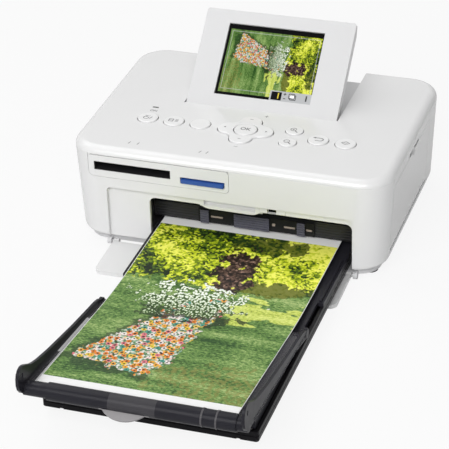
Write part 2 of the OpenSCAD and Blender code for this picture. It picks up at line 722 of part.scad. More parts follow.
// Roller that takes sheets from the cassette, with its gear
module pickup_roller() color(rubber_grey) in_row() {
    rod(inner_layer - 0.4, chassis_x1 + plate_t + 1, shaft_r, pickup_at);
    rod(4, 20, 5.6, pickup_at);
    gear(teeth_pickup, pickup_phase, pickup_at, inner_layer, inner_layer + gear_w, shaft_r - 0.2);
}

// Large gear between the motor and the rollers
module drive_gear() color(gloss_white) in_row() difference() {
    gear(teeth_drive, drive_phase, drive_at, outer_layer, outer_layer + gear_w, shaft_r + fit);
    for (a = [0:60:300]) rod(outer_layer - 1, outer_layer + gear_w + 1, 2.4,
        drive_at + 8.2 * [cos(a), sin(a)]);
}

// Motor shaft with its pinion
module motor_pinion() color("#c9a24a") in_row() {
    rod(motor_face - 4, outer_layer + gear_w + 0.6, 1, pinion_at);
    gear(teeth_pinion, pinion_phase, pinion_at, outer_layer, outer_layer + gear_w, 0.8);
}

// Feed motor
module feed_motor() color(steel) in_row() difference() {
    union() {
        rod(motor_face - motor_len, motor_face, motor_r, pinion_at);
        rod(motor_face, motor_face + 2.4, 3, pinion_at);
    }
    rod(motor_face - 5, motor_face + 5, 1 + fit, pinion_at);
}

head_y = [-4.5, 10];

// Thermal print head on its swinging carrier
module thermal_head() color("#8d8f94") in_row() union() {
    block([-38, head_y[0], 20], [62, head_y[1], 23]);
    along_x(-38, 62) polygon([[0, 20], [6, 20], [3.9, 15.9], [2.1, 15.9]]);
}

// Finned heat sink on the head
module heat_sink() color(steel) in_row() union() {
    block([-36, head_y[0], 23], [60, head_y[1], 25]);
    for (i = [0:4]) block([-36, head_y[0] + i * 3.2, 25], [60, head_y[0] + 1.2 + i * 3.2, 39]);
    // arms that hang the head from the cross bar
    for (x = [-34, 56]) block([x, head_y[0] + 1.2, 39 - 2], [x + 2.5, head_y[0] + 13, 45]);
}

// Case of the ink cartridge: two tubes and their end bars
module ribbon_case() color(dark_plastic) in_row() difference() {
    union() {
        for (at = [supply_at, takeup_at]) rod(cart_x[0], cart_x[1], tube_r, at);
        for (x = [cart_x[0], cart_x[1] - 3])
            block([x, supply_at[0], 40.2], [x + 3, takeup_at[0], 42.6]);
    }
    for (at = [supply_at, takeup_at]) {
        rod(cart_x[0] + 2, cart_x[1] - 2, tube_r - 1.2, at);
        rod(cart_x[0] - 1, cart_x[1] + 1, 3 + fit, at);
    }
    // slots that the film leaves through
    block([cart_x[0] + 3, supply_at[0] + 1, 20], [cart_x[1] - 3, supply_at[0] + 6.8, supply_at[1] - 2]);
    block([cart_x[0] + 3, takeup_at[0] - 4, 20], [cart_x[1] - 3, takeup_at[0] + 3, takeup_at[1] - 2]);
}

// Spool with journals at both ends
module spool(at, r) {
    rod(cart_x[0] - 1.2, cart_x[1] + 1.2, 3, at);
    rod(cart_x[0] + 3, cart_x[1] - 3, r, at);
}

module supply_spool() color(ink_amber) in_row() spool(supply_at, spool_r + 2);
module takeup_spool() color(ink_amber) in_row() spool(takeup_at, spool_r);

// Film between the spools, under the head
module ribbon_film() color(ink_amber) in_row() along_x(-36, 60)
    polygon([[-14.6, 29.4], [-9, 15.64], [18, 15.64], [22.6, 27.6], [22.5, 27.65], [17.94, 15.72],
        [-8.94, 15.72], [-14.5, 29.45]]);

// Main circuit board with its larger parts
module main_board() color(board_green) in_row() {
    block([-79, 6, 14], [-49, 55, 15.6]);
    block([-72, 16, 15.6], [-58, 30, 17.2]);
    block([-70, 36, 15.6], [-62, 44, 17]);
    for (x = [-75, -53]) translate([x, 50, 15.6]) cylinder(r = 2.8, h = 9);
    for (x = [-76, -52], y = [9, 52]) block([x - 1.5, y - 1.5, 4], [x + 1.5, y + 1.5, 14]);
}

// Socket for the power supply
module power_inlet() color(dark_plastic) in_row() {
    difference() {
        union() {
            translate([inlet_x, back_y - 12, 32]) rotate([-90, 0, 0]) cylinder(d = 7.6, h = 11.4);
            translate([inlet_x, back_y - 12, 32]) rotate([-90, 0, 0]) cylinder(d = 9, h = 8.4);
        }
        translate([inlet_x, back_y - 10, 32]) rotate([-90, 0, 0]) cylinder(d = 5.6, h = 20);
    }
    translate([inlet_x, back_y - 11, 32]) rotate([-90, 0, 0]) cylinder(d = 1.8, h = 9);
}

// Socket for the data lead
module usb_socket() color(steel) in_row() {
    difference() {
        block([usb_x - 4, back_y - 15, 12.4], [usb_x + 4, back_y - 0.6, 20]);
        block([usb_x - 3.4, back_y - 13, 13], [usb_x + 3.4, back_y + 1, 19.4]);
    }
    block([usb_x - 2, back_y - 13.5, 14.8], [usb_x + 2, back_y - 3, 17.4]);
    for (x = [usb_x - 5.4, usb_x + 3.9]) block([x, back_y - 5.4, 12.4], [x + 1.5, back_y - 3.9, 20]);
}

// ================= paper cassette =================

// Shallow tray that holds the paper
module cassette_base() color(dark_plastic) in_row() difference() {
    union() {
        translate([0, 0, base_z]) linear_extrude(base_h)
            round_rect([base_x0, base_front], [base_x1, base_back], 4);
    }
    translate([0, 0, base_z + 1.4]) linear_extrude(20)
        round_rect([base_x0 + tray_wall, base_front + tray_wall],
            [base_x1 - tray_wall, base_back - tray_wall], 2.4);
    // grooves along the underside
    for (x = [base_x0 + 9, base_x1 - 11])
        block([x, base_front - 1, base_z - 1], [x + 2, base_back + 1, base_z + 0.6]);
}

// Steel plate that lifts the sheets
module lift_plate() color(steel) in_row() difference() {
    block([base_x - 49, -212, 6.9], [base_x + 49, -44, 7.7]);
    block([base_x - 6, -60, 6], [base_x + 6, -40, 9]);
}

// Leaf spring under the plate
module lift_spring() color(steel) in_row() along_x(base_x - 8, base_x + 8)
    polygon([[-76, base_z + 1.4], [-72, base_z + 1.4], [-58, 6.6], [-52, 6.6], [-52, 6.9], [-58.2, 6.9],
        [-72.4, base_z + 1.7], [-76, base_z + 1.7]]);

// Sheets still in the cassette
module paper_stack() color("#f7f7f4") in_row() block([base_x - 50, -216.8, 7.7], [base_x + 50, -37.8, 10.1]);

// Smoke cover fixed over the rear of the tray, with rails for the print
module cassette_lid() color(smoke) in_row() difference() {
    union() {
        block([base_x0, lid_step, base_top], [base_x1, base_back, base_top + lid_t]);
        block([base_x0 + 3.2, lid_front, base_top], [base_x1 - 3.2, lid_step, base_top + lid_t]);
        for (x = [base_x - 47, base_x - 16, base_x + 15, base_x + 46])
            block([x, -130, base_top + 1], [x + 1.2, -66, sheet_z - 0.15]);
        // posts of the flap's hinge
        for (x = [post_x, 2 * base_x - post_x - post_w]) {
            rod(x, x + post_w, post_r, flap_axis);
            block([x, flap_axis[0], base_top], [x + post_w, flap_axis[0] + post_r, flap_axis[1]]);
        }
        for (x = [post_x, 2 * base_x - post_x - 3.6])
            block([x, flap_axis[0], base_top], [x + 3.6, flap_axis[0] + 8, base_top + lid_t]);
    }
    block([base_x - 14, -62, 5], [base_x + 14, -27, 20]);
    rod(flap_x0, flap_x1, flap_pin_r, flap_axis);
}

// Side profile of the flap: u runs forward from the hinge, w up from it
flap_profile = [[0.6, -2.1], [20, -0.2], [92, -0.6], [98, -0.8], [102, 0.6], [104.5, 3.2], [105.6, 6],
    [105.7, 9.4], [105, 11.8], [103.4, 13.4], [101.4, 14.1], [99.6, 14], [97, 13.2], [94, 11.9],
    [91, 10.5], [87, 9.4], [82, 8.5], [68, 7], [38, 5.1], [28, 4.8], [18, 4.4], [8, 4.15], [4, 3.5], [1, 2.3]];

// Places the flap's parts: u forward along the slope, w up
module flap_pose() translate([0, flap_axis[0], flap_axis[1]]) rotate([-flap_pitch, 0, 0])
    mirror([0, 1, 0]) children();

// Smoke lid that the print lands on
module flap_lid() color(smoke) in_row() difference() {
    union() {
        flap_pose() {
            block([flap_x0 + 0.8, 2.9, floor_top - floor_t], [flap_x1 - 0.8, roll_at[0] - 2, floor_top]);
            for (s = [0, 1]) translate([base_x, 0, 0]) mirror([s, 0, 0]) {
                translate([flap_x0 - base_x, 0, 0]) rotate(flap_flare)
                    along_x(0, flap_wall) polygon(flap_profile);
                rod(flap_x0 - base_x - 0.2, flap_x0 - base_x + flap_wall + 0.1, ear_r, [0, 0]);
            }
            // rolled front edge, hollow underneath
            difference() {
                union() {
                    rod(flap_x0 - 0.4, flap_x1 + 0.4, roll_end_r, roll_at);
                    rod(flap_x0 + 5, flap_x1 - 5, roll_r, roll_at);
                }
                rod(flap_x0 + 8, flap_x1 - 8, roll_r - 1.6, roll_at - [0.4, 0.6]);
                block([flap_x0 + 8, roll_at[0] - 6, -6], [flap_x1 - 8, roll_at[0] - 0.5, floor_top - floor_t]);
            }
            // finger tab that hangs off the roll, rounded at its tip
            translate([tab_x, roll_at[0] + 2.5, roll_at[1] - 2.1]) rotate([-tab_slope, 0, 0])
                linear_extrude(1, center = true) intersection() {
                    translate([0, tab_reach - tab_r]) circle(tab_r);
                    translate([-tab_w / 2, 0]) square([tab_w, tab_reach]);
                }
        }
        // skirt that stands on the rim of the tray
        for (x = [[base_x0 + 2, base_x0 + 3.4], [base_x1 - 3.4, base_x1 - 2]]) along_x(x[0], x[1])
            polygon([[-146, base_top + gap], [skirt_front, base_top + gap], [skirt_front, 23.2], [-146, 15.4]]);
        along_x(base_x0 + 2, base_x1 - 2)
            polygon([[skirt_front, base_top + gap], [skirt_front + 1.4, base_top + gap],
                [skirt_front + 1.4, 23.2], [skirt_front, 23.2]]);
    }
    rod(flap_x0 - 1, flap_x0 + 4, flap_pin_r + fit, flap_axis);
    rod(flap_x1 - 4, flap_x1 + 1, flap_pin_r + fit, flap_axis);
}

// Two pins that the flap turns on
module flap_pins() color(steel) in_row() {
    for (x = [flap_x0, 2 * base_x - post_x - post_w])
        rod(x, x + post_x + post_w - flap_x0, flap_pin_r, flap_axis);
}

// Underside of the sheet: level, then an easy bend, then straight up the flap
bend_r = (bend_start - bend_end) / sin(flap_pitch);
bend_z = sheet_z + bend_r * (1 - cos(flap_pitch));
front_z = bend_z + (bend_end - sheet_front) * tan(flap_pitch);
function bend_point(a, lift) =
    [bend_start - (bend_r - lift) * sin(a), sheet_z + bend_r - (bend_r - lift) * cos(a)];
function sheet_edge(lift) = concat([[sheet_back, sheet_z + lift]],
    [for (i = [0:6]) bend_point(i * flap_pitch / 6, lift)],
    [[sheet_front - lift * sin(flap_pitch), front_z + lift * cos(flap_pitch)]]);

// Finished print
module photo_print() color("#6f9a45") in_row() along_x(sheet_x - sheet_w / 2, sheet_x + sheet_w / 2)
    polygon(concat(sheet_edge(0), [for (i = [len(sheet_edge(0)) - 1:-1:0]) sheet_edge(sheet_t)[i]]));

top_cover();
front_panel();
rear_shell();
bottom_case();
rubber_feet();
case_screws();
cartridge_door();
cartridge_door_pins();
card_bezel();
large_card_reader();
small_card_reader();
memory_card();
lcd_front();
lcd_back();
lcd_module();
lcd_window();
lcd_pins();
power_button();
menu_button();
edit_button();
zoom_in_button();
zoom_out_button();
back_button();
print_button();
ok_button();
nav_pad();
nav_gimbal();
power_lamp();
front_door();
front_door_pins();
chassis();
output_guide();
exit_roller();
capstan_roller();
pinch_roller();
platen_roller();
pickup_roller();
thermal_head();
heat_sink();
drive_gear();
motor_pinion();
feed_motor();
ribbon_case();
supply_spool();
takeup_spool();
ribbon_film();
main_board();
key_board();
power_inlet();
usb_socket();
cassette_base();
lift_plate();
lift_spring();
paper_stack();
cassette_lid();
flap_lid();
flap_pins();
photo_print();
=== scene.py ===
import math

import bmesh
import bpy
from mathutils import Matrix, Vector


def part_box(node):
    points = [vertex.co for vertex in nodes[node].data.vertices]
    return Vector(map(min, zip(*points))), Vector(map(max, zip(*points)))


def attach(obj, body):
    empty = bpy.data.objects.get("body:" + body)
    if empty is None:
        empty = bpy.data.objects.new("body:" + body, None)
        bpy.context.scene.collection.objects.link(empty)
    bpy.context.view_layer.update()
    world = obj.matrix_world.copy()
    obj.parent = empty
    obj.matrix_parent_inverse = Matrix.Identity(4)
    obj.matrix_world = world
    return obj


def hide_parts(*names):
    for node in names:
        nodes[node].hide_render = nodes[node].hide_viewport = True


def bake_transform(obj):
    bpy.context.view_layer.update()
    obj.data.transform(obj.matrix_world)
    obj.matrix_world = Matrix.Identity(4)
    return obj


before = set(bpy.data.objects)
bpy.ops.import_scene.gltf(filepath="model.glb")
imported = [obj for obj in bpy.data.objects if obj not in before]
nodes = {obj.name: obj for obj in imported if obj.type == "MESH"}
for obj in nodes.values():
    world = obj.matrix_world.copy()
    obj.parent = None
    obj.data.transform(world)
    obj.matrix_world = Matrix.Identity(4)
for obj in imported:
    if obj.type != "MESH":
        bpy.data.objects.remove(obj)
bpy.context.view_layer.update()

# ---------------- camera
# A long lens looks down at the printer's front right corner, a little over a
# metre away. Every length below is in millimetres from the middle of the body.
body_y = sum(corner.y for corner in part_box("top_cover")) / 2


def at(x, y, z):
    return Vector((x / 1000, body_y + y / 1000, z / 1000))


azimuth, elevation, roll = (math.radians(angle) for angle in (19.0, 30.56, -1.89))
shadow = math.cos(elevation)
back = Vector((math.sin(azimuth) * shadow, -math.cos(azimuth) * shadow, math.sin(elevation)))
right = Vector((math.cos(azimuth), math.sin(azimuth), 0))
up = back.cross(right)
level_right = right * math.cos(roll) + up * math.sin(roll)
level_up = up * math.cos(roll) - right * math.sin(roll)
lens = bpy.data.cameras.new("camera")
lens.sensor_width = 36
lens.lens = 167.3
lens.shift_x = -0.0137
lens.clip_end = 20
camera = bpy.data.objects.new("camera", lens)
bpy.context.scene.collection.objects.link(camera)
camera.matrix_world = Matrix.Translation(at(315.1, -969.0, 590.2)) @ Matrix(
    (level_right, level_up, back)).transposed().to_4x4()
bpy.context.scene.camera = camera
bpy.context.scene.view_settings.view_transform = "Standard"

# ---------------- studio
# A table between two soft boxes, one overhead to the left, one in front. It shows
# almost white to the camera and still takes the shadow. The walls are a dim white
# that looks brighter to the camera, and to gloss that mirrors the rear wall.
WHITE = (1, 1, 1, 1)


def sign(operation, swapped=False):
    """The method that adds a Math node for an arithmetic sign."""
    return lambda self, other: self.maths(operation, *((other, self) if swapped else (self, other)))


class Wire:
    """A socket in a tree, with arithmetic that adds Math nodes."""

    def __init__(self, tree, socket):
        self.tree, self.socket = tree, socket

    def maths(self, operation, *values):
        return self.tree.node("Math", dict(enumerate(values)), operation=operation)

    __add__, __radd__ = sign("ADD"), sign("ADD", True)
    __sub__, __rsub__ = sign("SUBTRACT"), sign("SUBTRACT", True)
    __mul__, __rmul__ = sign("MULTIPLY"), sign("MULTIPLY", True)
    __truediv__, __gt__, __lt__ = sign("DIVIDE"), sign("GREATER_THAN"), sign("LESS_THAN")


class Tree:
    """A tree of shader nodes and the ways to add to it."""

    def __init__(self, owner):
        owner.use_nodes = True
        self.nodes, self.links = owner.node_tree.nodes, owner.node_tree.links

    def plug(self, socket, value):
        if isinstance(value, Wire):
            self.links.new(value.socket, socket)
        else:
            socket.default_value = value

    def node(self, kind, inputs=None, output=0, **settings):
        made = self.nodes.new("ShaderNode" + kind)
        for name, value in settings.items():
            if name == "stops":
                ramp = made.color_ramp
                while len(ramp.elements) < len(value):
                    ramp.elements.new(0.5)
                for stop, (place, *colour) in zip(ramp.elements, value):
                    stop.position, stop.color = place, (*colour, 1)
            elif kind == "ValToRGB":
                setattr(made.color_ramp, name, value)
            else:
                setattr(made, name, value)
        for name, value in (inputs or {}).items():
            self.plug(made.inputs[name], value)
        return Wire(self, made.outputs[output])

    def surface(self, output, factor, first, second):
        """Sends a mix of two shaders to the tree's output node."""
        mix = self.node("MixShader", {0: factor, 1: first, 2: second})
        self.plug(self.nodes[output].inputs["Surface"], mix)


class Finish(Tree):
    """A material being mixed: its shader and the nodes that feed it."""

    def __init__(self, name, **shader):
        self.material = bpy.data.materials.new(name)
        super().__init__(self.material)
        self.shader = self.nodes["Principled BSDF"]
        self.set(**shader)

    def set(self, **shader):
        for name, value in shader.items():
            self.plug(self.shader.inputs[name.replace("_", " ")], value)
        return self

    def blend(self, factor, first, second):
        pair = [(*c, 1) if isinstance(c, tuple) else c for c in (first, second)]
        return self.node("Mix", {0: factor, 6: pair[0], 7: pair[1]}, 2, data_type="RGBA")

    def mottle(self, patches, first, second, rough=None, spread=0.0):
        """Two colours in patches, rough the roughness of the first and spread more for the second."""
        self.set(Base_Color=self.blend(patches, first, second))
        if rough is not None:
            self.set(Roughness=rough + spread * patches)

    def axes(self, place=None):
        """The piece's own x, y and z in metres, or those of a given place."""
        place = place or self.node("TexCoord", output="Object")
        return [self.node("SeparateXYZ", {"Vector": place}, k) for k in range(3)]

    def grain(self, scale, detail=2.0, stretch=(1, 1, 1), rough=0.5):
        place = self.node("TexCoord", output="Object")
        place = self.node("Mapping", {"Vector": place, "Scale": stretch})
        return self.node("TexNoise", {"Vector": place, "Scale": scale, "Detail": detail,
                                      "Roughness": rough})

    def bump(self, height, depth, strength=1.0):
        bumps = self.node("Bump", {"Strength": strength, "Distance": depth, "Height": height})
        return self.set(Normal=bumps)


bpy.ops.mesh.primitive_plane_add(size=8, location=at(0, 0, 0))
table = bpy.context.object
table.name = "table_top"
table_white = Finish("table_white", Base_Color=(0.7, 0.7, 0.7, 1), Roughness=0.7)
seen = table_white.node("LightPath", output="Is Camera Ray")
mirrored = table_white.node("LightPath", output="Is Glossy Ray")
plain = Wire(table_white, table_white.shader.outputs[0])
glow = table_white.node("Emission", {"Color": WHITE, "Strength": 1.0})
table_white.surface("Material Output", seen * 0.88 + mirrored * 0.3, plain, glow)
table.data.materials.append(table_white.material)

sky = bpy.data.worlds.new("studio_walls")
bpy.context.scene.world = sky
walls = Tree(sky)
dim_wall = walls.nodes["Background"]
walls.plug(dim_wall.inputs["Color"], WHITE)
walls.plug(dim_wall.inputs["Strength"], 0.33)
white_wall = walls.node("Background", {"Color": WHITE})
rearward = walls.node("SeparateXYZ", {"Vector": walls.node("TexCoord", output="Generated")}, 1)
rear = walls.node("MapRange", {0: rearward, 1: 0.2, 2: 0.7})
shine = walls.node("LightPath", output="Is Glossy Ray") * rear
bright = shine.maths("MULTIPLY_ADD", shine, 0.8, walls.node("LightPath", output="Is Camera Ray"))
walls.surface("World Output", bright, Wire(walls, dim_wall.outputs[0]), white_wall)


def soft_box(name, place, target, size, power):
    lamp = bpy.data.lights.new(name, "AREA")
    lamp.shape, lamp.size, lamp.size_y, lamp.energy = "RECTANGLE", *size, power
    box = bpy.data.objects.new(name, lamp)
    bpy.context.scene.collection.objects.link(box)
    box.location = at(*place)
    box.rotation_euler = (at(*target) - box.location).to_track_quat("-Z", "Y").to_euler()


soft_box("overhead_box", (-560, 260, 1080), (0, -40, 40), (1.1, 0.9), 5.0)
soft_box("front_box", (40, -1150, 900), (0, -60, 30), (1.2, 0.7), 15.0)

# ---------------- top cover
# The glossy moulding that carries the controls: one shell with a rolled edge, a
# hole for every button, and an open pit that the screen folds down into.
BODY = (89.0, 63.5, 60.5)
CORNER, ROLLED, DRAFT, WALL, SKIRT, SEAM = 17.0, 5.0, 2.95, 2.2, 6.4, 56.5
SMOOTH_ANGLE, EDGE_ANGLE = math.radians(32), math.radians(35)


def alone(piece):
    bpy.ops.object.select_all(action="DESELECT")
    piece.select_set(True)
    bpy.context.view_layer.objects.active = piece


def fix_place(piece):
    alone(piece)
    bpy.ops.object.transform_apply(location=True, rotation=True, scale=True)
    return piece


def block(name, low, high):
    """A box between two corners."""
    low, high = at(*low), at(*high)
    bpy.ops.mesh.primitive_cube_add(size=1, location=(low + high) / 2)
    piece = bpy.context.object
    piece.name = name
    piece.scale = high - low
    return fix_place(piece)


def around(name, centre, dx, dy, low, high):
    """A box round a point on the deck."""
    x, y = centre
    return block(name, (x - dx, y - dy, low), (x + dx, y + dy, high))


def rod(name, start, end, radius, sides=48, tip=None):
    """A round bar between two points; tip is the radius of its far end."""
    a, b = at(*start), at(*end)
    tip = radius if tip is None else tip
    bpy.ops.mesh.primitive_cone_add(vertices=sides, radius1=radius / 1000, radius2=tip / 1000,
                                    depth=(b - a).length, location=(a + b) / 2,
                                    rotation=(b - a).to_track_quat("Z", "Y").to_euler())
    bpy.context.object.name = name
    return fix_place(bpy.context.object)


def plate(name, outline, push):
    """An outline drawn point by point, filled, and pushed into a slab."""
    bpy.ops.mesh.primitive_plane_add(size=0.0001, location=at(*outline[0]))
    piece = fix_place(bpy.context.object)
    piece.name = name
    bpy.ops.object.mode_set(mode="EDIT")
    bpy.ops.mesh.select_mode(type="VERT")
    bpy.ops.mesh.select_all(action="SELECT")
    bpy.ops.mesh.merge(type="CENTER")
    for here, there in zip(outline, outline[1:]):
        step = (Vector(there) - Vector(here)) / 1000
        bpy.ops.mesh.extrude_region_move(TRANSFORM_OT_translate={"value": step})
    bpy.ops.mesh.select_all(action="SELECT")
    bpy.ops.mesh.edge_face_add()
    bpy.ops.mesh.extrude_region_move(TRANSFORM_OT_translate={"value": Vector(push) / 1000})
    bpy.ops.mesh.select_all(action="SELECT")
    bpy.ops.mesh.normals_make_consistent(inside=False)
    bpy.ops.object.mode_set(mode="OBJECT")
    return piece


def round_edges(piece, chosen, width, segments):
    """Bevels the edges that chosen picks by their two ends, in millimetres."""
    alone(piece)
    bpy.ops.object.mode_set(mode="EDIT")
    bpy.ops.mesh.select_mode(type="EDGE")
    bpy.ops.mesh.select_all(action="DESELECT")
    mesh = bmesh.from_edit_mesh(piece.data)
    zero = at(0, 0, 0)
    for edge in mesh.edges:
        a, b = ((v.co - zero) * 1000 for v in edge.verts)
        edge.select_set(bool(chosen(a, b)))
    bmesh.update_edit_mesh(piece.data)
    bpy.ops.mesh.bevel(offset=width / 1000, segments=segments, affect="EDGES", clamp_overlap=True)
    bpy.ops.object.mode_set(mode="OBJECT")
    return piece


def upright(a, b):
    return abs(a.x - b.x) < 1e-3 and abs(a.y - b.y) < 1e-3


def above(z):
    """Picks edges whose ends are both higher."""
    return lambda a, b: min(a.z, b.z) > z


def below(z):
    return lambda a, b: max(a.z, b.z) < z


def running(axis, least):
    """Picks edges that reach farther than this along an axis."""
    return lambda a, b: abs(getattr(a, axis) - getattr(b, axis)) > least


def both(first, second):
    return lambda a, b: first(a, b) and second(a, b)


def cut(piece, tool, operation="DIFFERENCE"):
    alone(piece)
    bite = piece.modifiers.new("bite", "BOOLEAN")
    bite.object, bite.operation, bite.solver = tool, operation, "EXACT"
    bpy.ops.object.modifier_apply(modifier=bite.name)
    bpy.data.objects.remove(tool)
    return piece


def weld(piece, other):
    return cut(piece, other, "UNION")


def soften(piece, width, segments=2):
    """Takes the sharpness off every hard edge."""
    alone(piece)
    edge = piece.modifiers.new("edge", "BEVEL")
    edge.width, edge.segments, edge.limit_method = width / 1000, segments, "ANGLE"
    edge.angle_limit, edge.miter_outer = EDGE_ANGLE, "MITER_ARC"
    bpy.ops.object.modifier_apply(modifier=edge.name)
    return piece


def polish(piece):
    """Smooth shading that keeps the flats flat."""
    alone(piece)
    bpy.ops.object.shade_smooth_by_angle(angle=SMOOTH_ANGLE)
    flats = piece.modifiers.new("flats", "WEIGHTED_NORMAL")
    flats.keep_sharp, flats.weight = True, 90
    bpy.ops.object.modifier_apply(modifier=flats.name)
    return piece


def mount(piece, body, finish, slot, *stands_for):
    """Paints a finished piece and fixes it to its body."""
    if finish is not None:
        piece.data.materials.clear()
        piece.data.materials.append(finish.material)
    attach(piece, body)
    if stands_for:
        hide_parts(*stands_for)


def join(piece, *others):
    alone(piece)
    for other in others:
        other.select_set(True)
    bpy.ops.object.join()
    return piece


def slab(y0, y1, z0, z1):
    """A box wider than the body, to trim it with."""
    return block("slab", (-100, y0, z0), (100, y1, z1))


def casing(name, inset=0.0):
    """The body's outer form, or the form of its inside."""
    x, y, z = (half - inset for half in BODY)
    foot = SKIRT - 5 if inset else SKIRT
    form = block(name, (-x, -y, foot), (x, y, z))
    alone(form)
    bpy.ops.object.mode_set(mode="EDIT")
    for side in (-1, 1):
        bpy.ops.mesh.select_all(action="DESELECT")
        mesh = bmesh.from_edit_mesh(form.data)
        for vertex in mesh.verts:
            vertex.select_set(vertex.co.z < 0.03 and vertex.co.x * side > 0)
        mesh.select_flush_mode()
        bmesh.update_edit_mesh(form.data)
        lean = DRAFT + (5 * 0.06 if inset else 0)
        bpy.ops.transform.translate(value=(-side * lean / 1000, 0, 0))
    bpy.ops.object.mode_set(mode="OBJECT")
    round_edges(form, running("z", 20), CORNER - inset, 20)
    round_edges(form, above(z - 0.01), ROLLED - inset, 10)
    if not inset:
        round_edges(form, below(foot + 0.01), 2.5, 5)
    return form


def gloss(name, colour, roughness=0.24):
    """Glossy moulded plastic: a faint ripple and a few duller patches."""
    finish = Finish(name, Coat_Weight=0.35, Coat_Roughness=0.06, IOR=1.46)
    patches = finish.grain(38, 3)
    ripple = finish.grain(420, 1)
    finish.mottle(patches, colour, tuple(c * 0.975 for c in colour), roughness - 0.02, 0.04)
    return finish.bump(ripple, 0.00002, 0.35)


white = gloss("gloss_white", (0.8, 0.8, 0.8))
PIT = (-43.4, 45.0, -0.4, 52.3)
ROUND_BUTTONS = {"power": (-56.2, -23.7), "menu": (-41.1, -23.9), "edit": (-26.0, -23.4),
                 "back": (41.0, -24.6), "print": (56.2, -25.0)}
ZOOM_BUTTONS = {"zoom_in": (25.8, -17.8), "zoom_out": (25.9, -31.4)}
BUTTON_R, ZOOM_R, PAD_Y = 5.6, 4.8, -24.0
LAMP = (-56.5, -10.3)


def arc(centre, radius, start, end, steps):
    """Points along an arc, in degrees."""
    turns = [math.radians(start + (end - start) * k / steps) for k in range(steps + 1)]
    return [(centre[0] + radius * math.cos(t), centre[1] + radius * math.sin(t)) for t in turns]


def lobed(grow, z):
    """Outline of the four-way pad: round lobes that flow into each other."""
    arm = arc((9.3, 0), 6.2 + grow, -84.7, 84.7, 14)
    arm += arc((10.244, 10.244), 4.09 - grow, 264.7, 185.3, 8)[1:-1]
    points = []
    for quarter in range(4):
        c, s = round(math.cos(quarter * math.pi / 2)), round(math.sin(quarter * math.pi / 2))
        points += [(c * x - s * y, PAD_Y + s * x + c * y, z) for x, y in arm]
    return points


cover = casing("top_cover_shell")
cut(cover, slab(-80, 80, 0, SEAM + 0.08))
cut(cover, casing("inside", WALL))
weld(cover, block("pit_walls", (PIT[0] - 2, PIT[2] - 2, 50.3), (PIT[1] + 2, 62.9, 59)))
pit = block("pit", (PIT[0], PIT[2], PIT[3]), (PIT[1], 90, 70))
cut(cover, round_edges(pit, both(running("y", 30), below(53)), 0.8, 3))
for place in ROUND_BUTTONS.values():
    cut(cover, rod("hole", (*place, 50), (*place, 62), BUTTON_R + 0.35, 64))
for place in ZOOM_BUTTONS.values():
    cut(cover, rod("hole", (*place, 50), (*place, 62), ZOOM_R + 0.35, 56))
cut(cover, plate("pad_hole", lobed(0.4, 50), (0, 0, 14)))
cut(cover, around("lamp_hole", LAMP, 1.8, 0.8, 50, 65))
soften(cover, 0.16)
polish(cover)
cover.data.materials.append(white.material)
# The pit's floor takes a darker copy of the white gloss: painted shade for the screen's shadow on it.
pit_painted_shade = gloss("pit_painted_shade", (0.56, 0.56, 0.565), 0.4)
cover.data.materials.append(pit_painted_shade.material)
pit_floor = at(0, 0, PIT[3] + 0.2).z
for face in cover.data.polygons:
    across, ahead, high = face.center
    inside = PIT[0] < across * 1000 < PIT[1] and ahead > at(0, PIT[2], 0).y and high < pit_floor
    face.material_index = int(inside and face.normal.z > 0.9)
mount(cover, "housing", None, "white_gloss", "top_cover")

# ---------------- front panel
# The front wall: a shallow recess that takes the folded door, the wide mouth of
# the cassette with its dipped lip, and a scoop and a catch hole for the door.
RECESS = (-66.8, 70.2, 37.4)
MOUTH = (-43.2, 69.5, 33.1)
FACE, RECESS_FACE = -63.5, -61.2


def front_form(name, left, right, top, y0, y1, radius):
    """A slab seen from the front, open below, whose upper corners are round."""
    outline = [(left, y0, -10), (right, y0, -10)]
    for x, start in ((right - radius, 0), (left + radius, 90)):
        outline += [(x, y0, z) for x, z in arc((x, top - radius), radius, start, start + 90, 8)]
    return plate(name, outline, (0, y1 - y0, 0))


panel = casing("front_wall")
cut(panel, slab(-48, 80, 0, 80))
cut(panel, slab(-80, 80, SEAM, 80))
cut(panel, casing("inside", WALL))
weld(panel, block("lining", (RECESS[0] - 2, -61.7, 6.4), (RECESS[1] + 2, -59.3, 39.4)))
weld(panel, block("seat", (-78.5, -61.4, 41.8), (4.5, -60.1, 56.2)))
cut(panel, front_form("recess", *RECESS, -71, RECESS_FACE, 2.4))
lip = [(-16.2, 33.1), (-14.8, 32.9), (-13.2, 32.2), (-11.6, 31.4), (-9.6, 31.0), (14.2, 30.8),
       (16.2, 31.1), (17.8, 32.0), (19.2, 32.8), (20.4, 33.1)]
mouth = front_form("mouth", *MOUTH, -75, -53, 3.5)
tongue = plate("tongue", [(x, -74, z) for x, z in lip] + [(20.4, -74, 36), (-16.2, -74, 36)], (0, 20, 0))
cut(panel, cut(mouth, tongue))
weld(panel, block("lip_back", (-15, -59.5, 31.4), (20, -57.4, 38.6)))
pocket = [(-63, 32.7), (-58.5, 32.7), (-58.3, 33.5), (-60.2, 37.2), (-63, 37.2)]
cut(panel, plate("scoop", [(-12.4, y, z) for y, z in pocket], (28.8, 0, 0)))
catch_pad = block("catch_pad", (19.0, -61.9, 33.45), (33.4, -60.5, 37.3))
weld(panel, round_edges(catch_pad, lambda a, b: a.y < -61.7 or b.y < -61.7, 0.55, 3))
cut(panel, block("catch_hole", (23.4, -70, 33.4), (28.4, -54, 37.1)))


def in_face(face, left, right, top):
    """Picks edges in an upright face, between two sides and under a height."""
    return lambda *ends: all(abs(v.y - face) < 0.02 and left < v.x < right and v.z < top for v in ends)


def on_mouth(a, b):
    """The outer edge of the mouth, tongue and all, but not that of the scoop."""
    on_scoop = abs(a.z - 32.7) < 0.02 and abs(b.z - 32.7) < 0.02
    return in_face(RECESS_FACE, -43.4, 69.7, 33.2)(a, b) and not on_scoop


